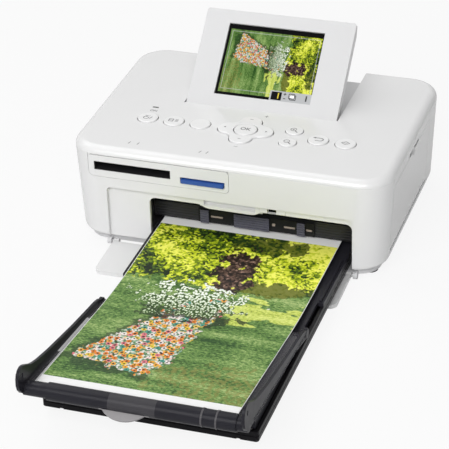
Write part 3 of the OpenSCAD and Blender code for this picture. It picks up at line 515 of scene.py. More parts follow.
round_edges(panel, on_mouth, 0.6, 3)
round_edges(panel, in_face(FACE, -70.4, 70.4, 37.6), 0.9, 4)
bezel_seat = block("bezel_seat", (-77, -70, 43.3), (3, -61.9, 60))
cut(panel, round_edges(bezel_seat, both(running("y", 5), below(50)), 2.6, 6))
cut(panel, block("large_slot", (-73.7, -70, 46.9), (-29.3, -54.5, 53.0)))
cut(panel, block("small_slot", (-24.8, -70, 45.5), (1.1, -54.5, 50.1)))
soften(panel, 0.16)
mount(polish(panel), "housing", white, "white_gloss", "front_panel")

bezel = block("card_slot_plate", (-76.8, -70, 43.5), (2.8, -61.9, 56.1))
round_edges(bezel, running("y", 5), 2.4, 6)
cut(bezel, casing("outside"), "INTERSECT")
cut(bezel, block("large_slot", (-73.2, -70, 47.4), (-29.8, -55, 52.5)))
cut(bezel, block("small_slot", (-24.3, -70, 46.0), (0.6, -55, 49.6)))
soften(bezel, 0.18)
mount(polish(bezel), "housing", white, "white_gloss", "card_bezel")

# ---------------- rear shell
# One moulding makes the sides and the back. It holds the side door's opening
# with its finger slot, the rear paper slot, the two sockets and the vents.
CART = (-46.0, 34.0, 11.0, 50.4)
shell = casing("rear_wall")
cut(shell, slab(-80, -47.7, 0, 80))
cut(shell, slab(-80, 80, SEAM, 80))
cut(shell, casing("inside", WALL))
cut(shell, block("pit_notch", (PIT[0] - 2.3, 51.5, 50.0), (PIT[1] + 2.3, 90, 90)))
cut(shell, block("door_hole", (70, CART[0], CART[2] - 0.6), (100, CART[1], CART[3])))
finger = block("finger_slot", (70, -13.6, 50.2), (100, 7.6, 52.8))
cut(shell, round_edges(finger, both(running("x", 5), above(52)), 1.2, 4))
cut(shell, block("paper_slot", (-44, 54, 12.5), (64, 90, 19.5)))
cut(shell, rod("socket_hole", (70, 50, 32), (70, 80, 32), 4, 40))
cut(shell, block("lead_hole", (65.6, 54, 12), (74.4, 90, 20.4)))
for k in range(10):
    cut(shell, block("vent", (-78 + 3.2 * k, 50, 24), (-76.4 + 3.2 * k, 90, 42)))
soften(shell, 0.16)
mount(polish(shell), "housing", white, "white_gloss", "rear_shell")

side_door = casing("side_door_panel")
cut(side_door, casing("inside", WALL))
cut(side_door, block("keep", (70, CART[0] + 0.3, 12.4), (100, CART[1] - 0.3, CART[3] - 0.3)), "INTERSECT")
knuckle = rod("knuckle", (85.2, CART[0] + 0.3, 12.4), (85.2, CART[1] - 0.3, 12.4), 1.1, 32)
weld(side_door, knuckle)
bpy.ops.mesh.primitive_uv_sphere_add(segments=32, ring_count=16, radius=0.0042, location=at(89.5, -3, 51.4))
cut(side_door, fix_place(bpy.context.object))
soften(side_door, 0.25)
mount(polish(side_door), "side_door", white, "white_gloss", "cartridge_door")

# ---------------- bottom case
# The tray under the machine, moulded in satin plastic and screwed to the shell,
# with four rubber feet. Both stay as the frame has them and get their finish.


def moulded(name, colour, roughness, depth=0.00003, tint=0.9):
    """Unpolished plastic: the fine grain of an eroded mould, a little uneven."""
    finish = Finish(name, IOR=1.46)
    patches = finish.grain(60, 2)
    finish.mottle(patches, colour, tuple(c * tint for c in colour), roughness - 0.06, 0.12)
    return finish.bump(finish.grain(2600, 1), depth, 0.5)


def dress(finish, *names):
    """Gives a finish to parts of the frame that stay as they are."""
    for name in names:
        for slot in nodes[name].material_slots:
            slot.material = finish.material


satin_white = moulded("satin_white", (0.7, 0.7, 0.71), 0.42)
rubber = moulded("grey_rubber", (0.055, 0.055, 0.058), 0.78, 0.00006, 0.75)
dress(satin_white, "bottom_case")
dress(rubber, "rubber_feet", "pinch_roller", "platen_roller", "pickup_roller")

# ---------------- metal parts
# Turned steel pins and screws, the pressed steel chassis, the aluminium heat
# sink and the brass pinion. Fine marks run along the way each was worked.


def metal(name, colour, roughness, marks):
    finish = Finish(name, Metallic=1.0)
    streaks = finish.grain(90, 4, marks, 0.65)
    stains = finish.grain(24, 3)
    finish.mottle(stains, colour, tuple(c * 0.82 for c in colour))
    finish.set(Roughness=roughness - 0.1 + 0.22 * streaks)
    return finish.bump(streaks, 0.00002, 0.35)


steel = metal("worked_steel", (0.6, 0.6, 0.61), 0.36, (0.06, 6, 6))
aluminium = metal("milled_aluminium", (0.78, 0.79, 0.8), 0.4, (8, 0.1, 8))
brass = metal("cut_brass", (0.72, 0.52, 0.22), 0.3, (0.1, 9, 9))
dress(steel, "case_screws", "cartridge_door_pins", "lcd_pins", "front_door_pins", "flap_pins", "chassis",
      "feed_motor", "capstan_roller", "small_card_reader", "usb_socket", "lift_plate", "lift_spring")
dress(aluminium, "heat_sink", "thermal_head")
dress(brass, "motor_pinion")

# ---------------- circuit boards
# Green fibreglass boards under the deck and at the back, with copper tracks
# under the lacquer and small tinned pads.
board = Finish("circuit_board", Coat_Weight=0.4, Coat_Roughness=0.12)
place = board.node("TexCoord", output="Object")
tracks = board.node("TexBrick", {
    "Vector": place, "Color1": (1, 1, 1, 1), "Color2": (0.75, 0.75, 0.75, 1), "Mortar": (0, 0, 0, 1),
    "Scale": 330, "Mortar Size": 0.09, "Brick Width": 1.4, "Row Height": 0.5}, 1, offset=0.37, squash=0.6)
pads = board.node("TexVoronoi", {"Vector": place, "Scale": 420}) < 0.16
lacquer = board.blend(tracks, (0.012, 0.1, 0.045), (0.03, 0.19, 0.075))
board.mottle(pads, lacquer, (0.62, 0.6, 0.55))
board.set(Metallic=pads * 0.9, Roughness=0.42 - 0.12 * pads)
board.bump(tracks + pads, 0.00004, 0.4)
dress(board, "main_board", "key_board")

# ---------------- paper path
# The feed train behind the mouth: nylon gear, ink cartridge with its two spools
# and the ribbon, and the black guide with ribbed blocks that the print leaves by.
matte_black = moulded("black_moulding", (0.016, 0.016, 0.018), 0.5)
nylon = moulded("nylon", (0.74, 0.73, 0.7), 0.38)
dress(nylon, "drive_gear")
dress(matte_black, "ribbon_case", "power_inlet", "large_card_reader", "nav_gimbal")

ribbon = Finish("ink_ribbon", Coat_Weight=0.5, Coat_Roughness=0.1)
bands = ribbon.grain(140, 3, (0.02, 1, 1))
ribbon.mottle(bands, (0.36, 0.21, 0.03), (0.2, 0.09, 0.02), 0.22, 0.2)
ribbon.bump(bands, 0.00003, 0.4)
dress(ribbon, "supply_spool", "takeup_spool", "ribbon_film")

guide = Finish("ribbed_guide", IOR=1.46)
BLOCK_Y = at(0, -49.1, 0).y
blocks = guide.axes()[1] < BLOCK_Y
ribs = guide.node("TexWave", {"Vector": guide.node("TexCoord", output="Object"), "Scale": 190},
                  bands_direction="Z", wave_profile="SIN")
wear = guide.grain(300, 3)
# The ribs on the blocks are coloured darker in their grooves and lighter on their crests, in step with the
# bump: painted shade.
shade = guide.blend(ribs, (0.006, 0.006, 0.007), (0.016, 0.016, 0.019))
guide.mottle(blocks, (0.01, 0.01, 0.011), shade)
guide.set(Roughness=0.34 + 0.14 * wear)
guide.bump(ribs * blocks + 0.05 * wear, 0.0003, 0.6)
dress(guide, "output_guide")


def within(value, low, high):
    return (value > low) * (value < high)


tan = Finish("tan_rollers", IOR=1.5)
x = tan.axes()[0]
sleeve = within(x, -0.013, -0.005) + within(x, 0.0215, 0.0245) + within(x, 0.0283, 0.0354)
sleeve = sleeve + within(x, 0.0406, 0.045)
pores = tan.grain(1800, 2)
tan.mottle(sleeve, (0.1, 0.1, 0.105), (0.42, 0.35, 0.29))
tan.set(Metallic=0.8 - 0.8 * sleeve, Roughness=0.4 + 0.24 * sleeve + 0.08 * pores)
tan.bump(pores, 0.00005, 0.6)
dress(tan, "exit_roller")

# ---------------- exit grille
# A black moulded plate clipped to the guide in front of the exit rollers. Each
# roller shows through a slit, and three ribbed blocks press the print flat.
SLITS = ((-12.3, -5.0, 19.5, 21.0), (22.3, 24.3, 19.4, 21.5), (29.0, 35.4, 19.2, 20.8),
         (41.3, 45.0, 19.1, 20.7))
BLOCKS = ((-17.7, -12.9), (1.4, 21.2), (36.7, 41.0))
grille = block("exit_grille", (-19.2, -51.3, 16.45), (46.2, -50.5, 24.6))
for x0, x1, z0, z1 in SLITS:
    cut(grille, block("slit", (x0, -53, z0), (x1, -49, z1)))
for x0, x1 in BLOCKS:
    press = block("press_block", (x0, -52.6, 16.6), (x1, -51.2, 24.4))
    for k in range(5):
        cut(press, block("groove", (x0 - 1, -53, 17.5 + 1.45 * k), (x1 + 1, -52.1, 17.95 + 1.45 * k)))
    weld(grille, press)
soften(grille, 0.12, 1)
grille_black = Finish("grille_black", Specular_IOR_Level=0.3)
in_front = grille_black.axes()[1] < at(0, -52.08, 0).y
rubbed = grille_black.grain(300, 3)
plain = grille_black.blend(rubbed, (0.005, 0.005, 0.006), (0.01, 0.01, 0.011))
greyed = grille_black.blend(rubbed, (0.075, 0.075, 0.1), (0.11, 0.108, 0.14))
grille_black.mottle(in_front, plain, greyed)
grille_black.set(Roughness=0.36 + 0.16 * rubbed)
grille_black.bump(rubbed, 0.00004, 0.5)
mount(polish(grille), "housing", grille_black, "black_matte")

# ---------------- memory card
# A blue plastic card pushed into the narrow slot until only its edge shows. Its
# corners are rounded and a groove for the fingernail runs along its top.
card = block("card", (-23.85, -64.7, 46.5), (0.15, -40.7, 48.6))
round_edges(card, upright, 0.8, 4)
round_edges(card, both(below(46.6), lambda a, b: max(a.y, b.y) < -64.6), 0.7, 4)
cut(card, block("nail_groove", (-24.85, -64.3, 48.45), (1.15, -63.7, 49)))
soften(card, 0.12)
blue = Finish("card_blue", IOR=1.5)
scuffs = blue.grain(520, 4, (1, 1, 6), 0.7)
blue.mottle(scuffs, (0.018, 0.065, 0.3), (0.045, 0.13, 0.44), 0.3, 0.2)
blue.bump(scuffs, 0.00004, 0.5)
mount(polish(card), "card", blue, "card_blue", "memory_card")

# ---------------- push buttons
# Eight gloss caps stand out of their holes on hidden flanges, each with a thin
# chamfer. Small grey pictures are printed on them in a hard-wearing ink.
button_white = gloss("button_white", (0.85, 0.85, 0.85), 0.2)
TOP, INK = 61.3, 0.03
ink_grey = Finish("grey_ink", IOR=1.4)
ink_grey.mottle(ink_grey.grain(900, 2), (0.15, 0.15, 0.155), (0.23, 0.23, 0.235), 0.5, 0.1)


def stroke(line, width, z=TOP, thick=INK):
    """A printed line of even width along a row of points."""
    line = [Vector(p) for p in line]
    left, right = [], []
    for k, here in enumerate(line):
        way = (line[min(k + 1, len(line) - 1)] - line[max(k - 1, 0)]).normalized() * width / 2
        left.append((here.x - way.y, here.y + way.x, z - 0.01))
        right.append((here.x + way.y, here.y - way.x, z - 0.01))
    return plate("mark", left + right[::-1], (0, 0, thick + 0.01))


def words(text, x, y, size, z=TOP, bold=1.0):
    """Printed letters or digits, centred on a point."""
    bpy.ops.object.text_add()
    letters = bpy.context.object
    letters.data.body, letters.data.size = text, size / 1000
    letters.data.align_x, letters.data.align_y = "CENTER", "CENTER"
    letters.data.extrude = (INK + 0.01) / 2000
    letters.data.offset = bold * size / 50000
    bpy.ops.object.convert(target="MESH")
    letters.location = at(x, y, z + (INK - 0.01) / 2)
    fix_place(letters)
    bpy.ops.object.mode_set(mode="EDIT")
    bpy.ops.mesh.select_all(action="SELECT")
    bpy.ops.mesh.remove_doubles(threshold=0.000002)
    bpy.ops.mesh.normals_make_consistent(inside=False)
    bpy.ops.object.mode_set(mode="OBJECT")
    return letters


def drawing(lines, x, y, grow=1.0, z=TOP):
    """Prints lines about a point. One of no width is the patch that it encloses."""
    made = []
    for line, width in lines:
        line = [(x + grow * px, y + grow * py) for px, py in line]
        patch = [(px, py, z - 0.01) for px, py in line]
        made.append(stroke(line, grow * width, z) if width else plate("mark", patch, (0, 0, INK + 0.01)))
    return made


def sides(corners, width):
    """The sides of a closed shape, each a line of its own."""
    return [(ends, width) for ends in zip(corners, corners[1:] + corners[:1])]


def printed(piece, ground, *marks):
    """Adds printed marks to a painted piece."""
    piece.data.materials.append(ground.material)
    for mark in marks:
        mark.data.materials.append(ink_grey.material)
    return join(piece, *marks)


def button_cap(name, x, y, radius, top=TOP):
    cap = rod(name, (x, y, 56.9), (x, y, top), radius, 72)
    round_edges(cap, above(top - 0.01), 0.5, 4)
    weld(cap, rod("flange", (x, y, 56.8), (x, y, 58.0), radius + 0.8, 48))
    weld(cap, rod("stem", (x, y, 56.2), (x, y, 57.2), 1.5, 24))
    return cap


LOUPE = [(arc((-0.5, 0.4), 1.25, 0, 352, 20), 0.3), (((0.4, -0.6), (1.7, -1.9)), 0.42),
         (((-1.1, 0.4), (0.1, 0.4)), 0.26)]
SUN = [(((-1.2 + 0.9 * k, 1.3), (-1.2 + 0.9 * k, 0.7)), 0.3) for k in range(3)]
ROWS = [(((0.6, 0.8 - 0.8 * k), (2.1, 0.8 - 0.8 * k)), 0.3) for k in range(3)]
HOOK = [(-1.7, 1.1), (1.0, 1.1), *arc((1.0, -0.1), 1.2, 90, -90, 10)[1:], (-1.2, -1.3)]
ICONS = {
    "power": SUN + [(arc((-0.6, -0.7), 1.1, 60, 385, 20), 0.34), (((1.0, -1.6), (1.9, 0.6)), 0.32),
                    (((-0.6, -0.1), (-0.6, 0.9)), 0.32)],
    "menu": ROWS + sides([(-2.2, -1.1), (-0.3, -1.1), (-0.3, 1.1), (-2.2, 1.1)], 0.32) + [
        (((-2.2, 0), (-0.3, 0)), 0.26)],
    "edit": [],
    "back": [(HOOK, 0.42), (((-2.6, 1.1), (-1.3, 0.4), (-1.3, 1.8)), 0)],
    "print": sides([(-1.9, 0), (0, 1.3), (1.9, 0), (0, -1.3)], 0.32) + [(((-0.8, 0), (0.8, 0)), 0.3)],
    "zoom_in": LOUPE + [(((-0.5, -0.2), (-0.5, 1.0)), 0.26)],
    "zoom_out": LOUPE}
for name, place in {**ROUND_BUTTONS, **ZOOM_BUTTONS}.items():
    cap = button_cap(name + "_cap", *place, ZOOM_R if name in ZOOM_BUTTONS else BUTTON_R)
    printed(polish(cap), button_white, *drawing(ICONS[name], *place, 1.25))
    mount(cap, name + "_key", None, "white_gloss", name + "_button")

# ---------------- four-way pad
# One gloss cap with four lobes rocks on a hidden ring. A round button stands in
# the middle, and a short line or point on each lobe shows the way it is pressed.
PAD_TOP = 61.5
pad = plate("four_way_pad", lobed(0, 57.6), (0, 0, PAD_TOP - 57.6))
round_edges(pad, above(PAD_TOP - 0.01), 0.55, 4)
cut(pad, rod("hole", (0, PAD_Y, 50), (0, PAD_Y, 70), 6.8, 72))
dish = rod("dish", (0, PAD_Y, PAD_TOP - 0.3), (0, PAD_Y, PAD_TOP + 0.3), 7.3, 72, 8.4)
cut(pad, dish)
soften(pad, 0.12)
ways = [(((-0.9, 11.6), (0.9, 11.6)), 0.3), (((-0.9, -11.2), (0.9, -11.2)), 0.3),
        (((-11.2, -0.8), (-11.2, 0.8), (-12.3, 0)), 0), (((12.3, 0), (11.2, 0.8), (11.2, -0.8)), 0)]
printed(polish(pad), button_white, *drawing(ways, 0, PAD_Y, 1.0, PAD_TOP))
mount(pad, "pad", None, "white_gloss", "nav_pad")

okay = button_cap("ok_cap", 0, PAD_Y, 6.2, 61.6)
printed(polish(okay), button_white, words("OK", 0, PAD_Y, 3.9, 61.6))
mount(okay, "ok_key", None, "white_gloss", "ok_button")

# ---------------- deck printing
# Pale marks on the top cover: the word over the power button, plus and minus
# signs above and below the pad, and two pairs of ticks at the front edge.
DECK = 60.5
deck_ink = Finish("pale_ink", IOR=1.4)
deck_ink.mottle(deck_ink.grain(900, 2), (0.2, 0.2, 0.205), (0.29, 0.29, 0.295), 0.5, 0.1)
signs = [words("ON", -56.2, -14.6, 2.6, DECK), stroke([(5.2, -5.4), (7.4, -5.4)], 0.4, DECK),
         stroke([(6.3, -6.5), (6.3, -4.3)], 0.4, DECK, 0.035),
         stroke([(-0.9, -42.3), (1.3, -42.3)], 0.4, DECK)]
for x in (-56.2, -51.3, -16.2, -12.3):
    signs.append(stroke([(x - 0.35, -54.0), (x + 0.35, -51.6)], 0.45, DECK))
deck_marks = join(*signs)
deck_marks.name = "deck_marks"
mount(deck_marks, "housing", deck_ink, "white_gloss")

lens_green = Finish("lamp_lens", Coat_Weight=0.6, Coat_Roughness=0.05)
lens_green.mottle(lens_green.grain(500, 2), (0.055, 0.065, 0.06), (0.09, 0.105, 0.095), 0.2, 0.1)
lamp = around("lamp_lens", LAMP, 1.7, 0.7, 55.7, 60.45)
round_edges(lamp, upright, 0.55, 5)
mount(polish(soften(lamp, 0.12)), "housing", lens_green, "lamp", "power_lamp")

# ---------------- card sockets
# A black moulded throat lines the wide slot right up to the white plate, so the
# slot looks black from edge to edge. The narrow slot has its own steel cage.
throat = block("card_throat", (-73.18, -63.3, 47.42), (-29.82, -36, 52.48))
cut(throat, block("inside", (-72.8, -70, 47.75), (-30.2, -38, 52.15)))
mount(polish(soften(throat, 0.08, 1)), "housing", matte_black, "black_matte")

# ---------------- tilting screen
# The display is a white frame and a sloping back shell clipped together over the
# panel. It turns on two pins at the front of its pit and stands at rest at 42
# degrees.
HINGE = (0, 2.0, 58.5)
TILT, SCREEN_X, SCREEN_LONG = 42.3, (-42.4, 44.0), 57.65
WINDOW = (-27.9, 27.4, 7.2, 49.9)


def turned(piece, pivot, degrees):
    """Turns a piece made flat about the left-to-right line through pivot."""
    there = Matrix.Translation(at(*pivot))
    piece.matrix_world = there @ Matrix.Rotation(math.radians(degrees), 4, "X") @ there.inverted()
    return fix_place(piece)


def on_screen(name, low, high):
    """A box given in the screen's own lengths: across, up the screen, out of it."""
    return block(name, *((x, HINGE[1] + v, HINGE[2] + w) for x, v, w in (low, high)))


front = on_screen("screen_frame", (SCREEN_X[0], 0, -1), (SCREEN_X[1], SCREEN_LONG, 2))
round_edges(front, lambda a, b: upright(a, b) and a.y > 40, 1.6, 6)
weld(front, rod("roll", (SCREEN_X[0], *HINGE[1:]), (SCREEN_X[1], *HINGE[1:]), 2, 40))
cut(front, on_screen("opening", (WINDOW[0], WINDOW[2], -5), (WINDOW[1], WINDOW[3], 5)))
cut(front, on_screen("room", (WINDOW[0] - 5, 4.6, -5), (WINDOW[1] + 8, WINDOW[3] + 2.4, 0.8)))
for x in (SCREEN_X[0], SCREEN_X[1] - 7):
    cut(front, rod("bore", (x - 1, *HINGE[1:]), (x + 8, *HINGE[1:]), 1.05, 24))
turned(soften(front, 0.3, 3), HINGE, TILT)
screen_white = gloss("screen_white", (0.71, 0.71, 0.715), 0.28)
mount(polish(front), "screen", screen_white, "white_gloss", "lcd_front")

slope = [(3.4, -1.02), (5.5, -5), (51.1, -5), (57.6, -1.02)]
shell = plate("screen_back", [(SCREEN_X[0] + 0.2, HINGE[1] + v, HINGE[2] + w) for v, w in slope],
              (SCREEN_X[1] - SCREEN_X[0] - 0.4, 0, 0))
round_edges(shell, below(HINGE[2] - 4.9), 1.2, 4)
cut(shell, on_screen("room", (WINDOW[0] - 5, 4.9, -3.6), (WINDOW[1] + 8, WINDOW[3] + 2, 5)))
for k in range(5):
    cut(shell, on_screen("groove", (-24 + 10 * k, 40, -6), (-18 + 10 * k, 40.8, -4.7)))
turned(soften(shell, 0.2), HINGE, TILT)
mount(polish(shell), "screen", screen_white, "white_gloss", "lcd_back")

# ---------------- screen picture
# The panel's glass shows a garden with the lawn at its left, because the picture
# lies on its side, and a grey bar with a count of one at the lower right.
up_y, up_z = math.cos(math.radians(TILT)), math.sin(math.radians(TILT))
hinge_at = at(*HINGE)


def soft_step(value, low, high):
    """0 below low, 1 above high, and smooth between."""
    return value.tree.node("MapRange", {0: value, 1: low, 2: high}, interpolation_type="SMOOTHSTEP")


def oval(u, v, centre, reach, rough=0.0):
    """1 inside an oval and 0 outside it, with a ragged edge."""
    a, b = (u - centre[0]) / reach[0], (v - centre[1]) / reach[1]
    return 1 - soft_step(a * a + b * b + rough, 0.92, 1.08)


GARDEN_LONG = 148


def garden(finish, u, v):
    """A garden picture 100 wide, u and v millimetres from its lower left corner."""
    flat = finish.node("CombineXYZ", {0: u, 1: v, 2: 0.0})

    def noise(scale, detail=3.0, stretch=(1, 1, 1), rough=0.55):
        place = finish.node("Mapping", {"Vector": flat, "Scale": stretch})
        return finish.node("TexNoise", {"Vector": place, "Scale": scale, "Detail": detail,
                                        "Roughness": rough}, noise_dimensions="2D")

    def cells(scale, output=0):
        return finish.node("TexVoronoi", {"Vector": flat, "Scale": scale}, output,
                           voronoi_dimensions="2D")

    def chances(scale):
        """A different number for each cell."""
        return finish.node("SeparateColor", {0: cells(scale, 1)})

    def spread(times, finer=0.0):
        """How far the noise pushes an outline in and out."""
        pushed = (lumps - 0.5) * times
        return pushed + (leaves - 0.5) * finer if finer else pushed

    def ramp(value, *stops, **settings):
        return finish.node("ValToRGB", {0: value}, stops=stops, **settings)

    def least(*values):
        found = values[0]
        for value in values[1:]:
            found = found.maths("MINIMUM", found, value)
        return found

    clumps, lumps, leaves = noise(0.045, 3), noise(0.14, 2), noise(0.42, 4)
    chance = chances(0.85)
    # The lawn: streaks of light across it, a sunny patch and some dry grass.
    blades = noise(0.5, 5, (1, 2.4, 1), 0.7) * 0.62 + noise(0.05, 3, (0.5, 2.6, 1)) * 0.38
    lawn = ramp(blades, (0.38, 0.014, 0.06, 0.01), (0.47, 0.095, 0.21, 0.04),
                (0.55, 0.215, 0.36, 0.095), (0.64, 0.47, 0.58, 0.23))
    sunny = ramp(blades, (0.36, 0.22, 0.32, 0.03), (0.48, 0.64, 0.74, 0.12),
                 (0.62, 0.86, 0.9, 0.3))
    sun = oval(u, v, (84, 82), (34, 9), (noise(0.07, 3, (0.7, 2, 1)) - 0.5) * 6)
    lawn = finish.blend(sun * 0.9, lawn, sunny)
    dry = oval(u, v, (84, 12), (34, 16), (noise(0.12, 3) - 0.5) * 5) * soft_step(leaves, 0.42, 0.6)
    lawn = finish.blend(dry * 0.65, lawn, (0.27, 0.25, 0.06))
    # The bushes behind it: sunlit leaves over deep shade.
    light = clumps * 0.5 + lumps * 0.2 + leaves * 0.12 + chance * 0.18 + (u - 24) * 0.0009
    bushes = ramp(light, (0.38, 0.006, 0.016, 0.004), (0.45, 0.06, 0.12, 0.012),
                  (0.5, 0.26, 0.36, 0.01), (0.55, 0.66, 0.74, 0.03),
                  (0.63, 0.95, 0.96, 0.16))
    shade = oval(u, v, (80, 101), (30, 8), spread(3, 2))
    shade = shade + oval(u, v, (66, 142), (20, 9), spread(4)) * (1 - shade)
    bushes = finish.blend(shade * 0.8, bushes, (0.008, 0.028, 0.008))
    edge = soft_step(v + (clumps - 0.5) * 26 + (leaves - 0.5) * 8, 98.5, 100.5)
    picture = finish.blend(edge, lawn, bushes)
    # A bush with dark copper leaves in front of them.
    copper = ramp(leaves * 0.45 + chance * 0.35 + lumps * 0.2, (0.36, 0.008, 0.005, 0.004),
                  (0.5, 0.04, 0.022, 0.016), (0.62, 0.15, 0.085, 0.06), (0.72, 0.42, 0.27, 0.21))
    bush = oval(u, v, (55, 113), (11, 20), spread(4, 2))
    picture = finish.blend(bush, picture, copper)
    # A long bed of mixed flowers that widens towards the viewer, and its shadow.
    left, front = u - 4 - (v - 22) * 0.6, v - 20 + u * 0.16
    beside = 49 + (v - 12) * 0.17 - u
    ragged = spread(12, 5)
    fall = soft_step(least(left + 3.5, front + 4, beside, 88 - v) + ragged, -1.2, 1.2)
    picture = finish.blend(fall * 0.75, picture, (0.012, 0.04, 0.01))
    bed = soft_step(least(left, front, beside, 88 - v) + ragged, -0.5, 0.5)
    tints = ramp(chances(0.3), (0.0, 0.8, 0.23, 0.02), (0.34, 0.9, 0.42, 0.04),
                 (0.5, 0.78, 0.2, 0.24), (0.62, 0.88, 0.8, 0.78), (0.8, 0.06, 0.34, 0.26),
                 (0.9, 0.86, 0.62, 0.05), interpolation="CONSTANT")
    buds = ramp(chances(0.62), (0.0, 0.84, 0.82, 0.78), (0.38, 0.1, 0.26, 0.1),
                (0.6, 0.88, 0.62, 0.56), (0.72, 0.28, 0.46, 0.34), (0.86, 0.9, 0.56, 0.12),
                interpolation="CONSTANT")
    ground = ramp(noise(0.5, 3), (0.38, 0.6, 0.66, 0.54), (0.5, 0.16, 0.3, 0.14),
                  (0.62, 0.02, 0.05, 0.012))
    flowers = finish.blend(1 - soft_step(cells(0.62), 0.36, 0.48), ground, buds)
    petal = cells(0.3) + (leaves - 0.5) * 0.5
    flowers = finish.blend(1 - soft_step(petal, 0.38, 0.46), flowers, tints)
    flowers = finish.blend(1 - soft_step(petal, 0.13, 0.19), flowers, (0.035, 0.015, 0.01))
    picture = finish.blend(bed, picture, flowers)
    # A shrub of small white flowers behind the bed, with shade under it.
    under = oval(u, v, (45, 75), (26, 10), spread(5, 2))
    picture = finish.blend(under * 0.85, picture, (0.01, 0.024, 0.008))
    shrub = oval(u, v, (42, 84), (25, 13), spread(5, 2.4))
    bright = cells(0.7) * (0.55 + leaves) + (86 - v) * 0.012
    petals = ramp(bright, (0.2, 0.94, 0.96, 0.92), (0.36, 0.76, 0.85, 0.64), (0.48, 0.2, 0.33, 0.08),
                  (0.66, 0.035, 0.08, 0.016))
    return finish.blend(shrub, picture, petals)


VIEW = (-26.5, 26.7, 9.3, 47.0)
display = Finish("display_glass", Roughness=0.1, Specular_IOR_Level=0.05)
x, y, z = display.axes()
across = x * 1000
along = (y - hinge_at.y) * (1000 * up_y) + (z - hinge_at.z) * (1000 * up_z)
scale = GARDEN_LONG / (VIEW[1] - VIEW[0])
shown = garden(display, (VIEW[3] - along) * scale, (across - VIEW[0]) * scale)
lines = within(across, VIEW[0] + 1.0, VIEW[1] - 1.0) * within(along, 11.3, VIEW[3] - 1.0)
lines = lines - within(across, VIEW[0] + 1.3, VIEW[1] - 1.3) * within(along, 11.6, VIEW[3] - 1.3)
shown = display.blend(lines * 0.55, shown, (0.72, 0.74, 0.72))
inside = within(across, VIEW[0], VIEW[1]) * within(along, VIEW[2], VIEW[3])
shown = display.blend(inside, (0.002, 0.002, 0.002), shown)
shown = display.blend(within(across, 3.4, 27.2) * (along < 13.5), shown, (0.56, 0.57, 0.58))
shown = display.blend(within(across, 4.3, 10.2) * within(along, 8.1, 12.9), shown, (0.006, 0.006, 0.007))
sparkle = display.grain(1500, 1)
display.mottle(sparkle, (0.003, 0.003, 0.003), (0.006, 0.006, 0.007))
display.set(Emission_Color=shown, Emission_Strength=0.95)
GLASS = 0.78
glass = on_screen("display", (WINDOW[0] - 2, WINDOW[2] - 2, 0), (WINDOW[1] + 2, WINDOW[3] + 2, GLASS))
soften(glass, 0.1, 1)

count = Finish("count_yellow", Emission_Color=(0.85, 0.66, 0.03, 1), Emission_Strength=0.9)
count.mottle(count.grain(900, 1), (0.02, 0.015, 0.0), (0.03, 0.02, 0.0))
bar_black = Finish("bar_black", Roughness=0.4)
bar_black.mottle(bar_black.grain(900, 1), (0.01, 0.01, 0.01), (0.03, 0.03, 0.03))
bar_white = Finish("bar_white", Emission_Color=(0.9, 0.9, 0.9, 1), Emission_Strength=0.9)
bar_white.mottle(bar_white.grain(900, 1), (0.5, 0.5, 0.5), (0.6, 0.6, 0.6))
glass.data.materials.append(display.material)
drawn = []


def on_bar(finish, mark):
    mark.data.materials.append(finish.material)
    drawn.append(mark)


def bar_line(finish, line, width):
    on_bar(finish, stroke([(px, HINGE[1] + py) for px, py in line], width, HINGE[2] + GLASS))


on_bar(count, words("1", 8.3, HINGE[1] + 10.5, 4.6, HINGE[2] + GLASS))
bar_line(bar_black, [(11.2, 12.0), (12.8, 12.0)], 0.45)
bar_line(bar_black, [(12.0, 11.2), (12.0, 12.8)], 0.4)
bar_line(bar_black, [(11.4, 9.4), (12.7, 9.4)], 0.45)
for shift in (0.0, 0.7):
    for ends, width in sides([(14.4, 9.8), (17.6, 9.8), (17.6, 12.5), (14.4, 12.5)], 0.4):
        bar_line(bar_black, [(px + shift, py - shift) for px, py in ends], width)
bar_line(bar_white, [(14.9, 11.1), (17.3, 11.1)], 1.7)
on_bar(bar_black, words("1", 24.3, HINGE[1] + 10.6, 4.2, HINGE[2] + GLASS, bold=2.4))
join(glass, *drawn)
mount(turned(glass, HINGE, TILT), "screen", None, "screen_glass", "lcd_window")
dress(matte_black, "lcd_module")

# ---------------- front door
# The door of the mouth, folded down until its edge rests on the table: one flat
# moulding with rounded corners and a knuckle at each end.
DOOR, DOOR_TURN = (-65.2, 69.2, 31.5), 2.5
PIVOT = (0, -61.0, 2.5)
door = block("drop_door", (DOOR[0], PIVOT[1] - DOOR[2], 1.4), (DOOR[1], PIVOT[1], 3.6))
round_edges(door, lambda a, b: upright(a, b) and a.y < -80, 4, 10)
cut(door, block("gap", (DOOR[0] + 3, PIVOT[1] - 1.9, 0), (DOOR[1] - 3, PIVOT[1] + 5, 9)))
for x in (DOOR[0], DOOR[1] - 3):
    weld(door, rod("knuckle", (x, *PIVOT[1:]), (x + 3, *PIVOT[1:]), 1.5, 40))
for x in (DOOR[0], DOOR[1] - 4):
    cut(door, rod("bore", (x - 1, *PIVOT[1:]), (x + 5, *PIVOT[1:]), 0.95, 24))
turned(soften(door, 0.3, 3), PIVOT, DOOR_TURN)
mount(polish(door), "door", white, "white_gloss", "front_door")

# ---------------- cassette base
# The black tray that holds the blank paper, moulded with a glossy outside, round
# corners, a step along its sides and runners under it.
BASE = (-42.4, 67.0, -219.0, -24.0)
MIDDLE = 12.3


def in_base(name, inset, z0, z1):
    """A box like the base seen from above, but smaller by an inset all round."""
    return block(name, (BASE[0] + inset, BASE[2] + inset, z0), (BASE[1] - inset, BASE[3] - inset, z1))


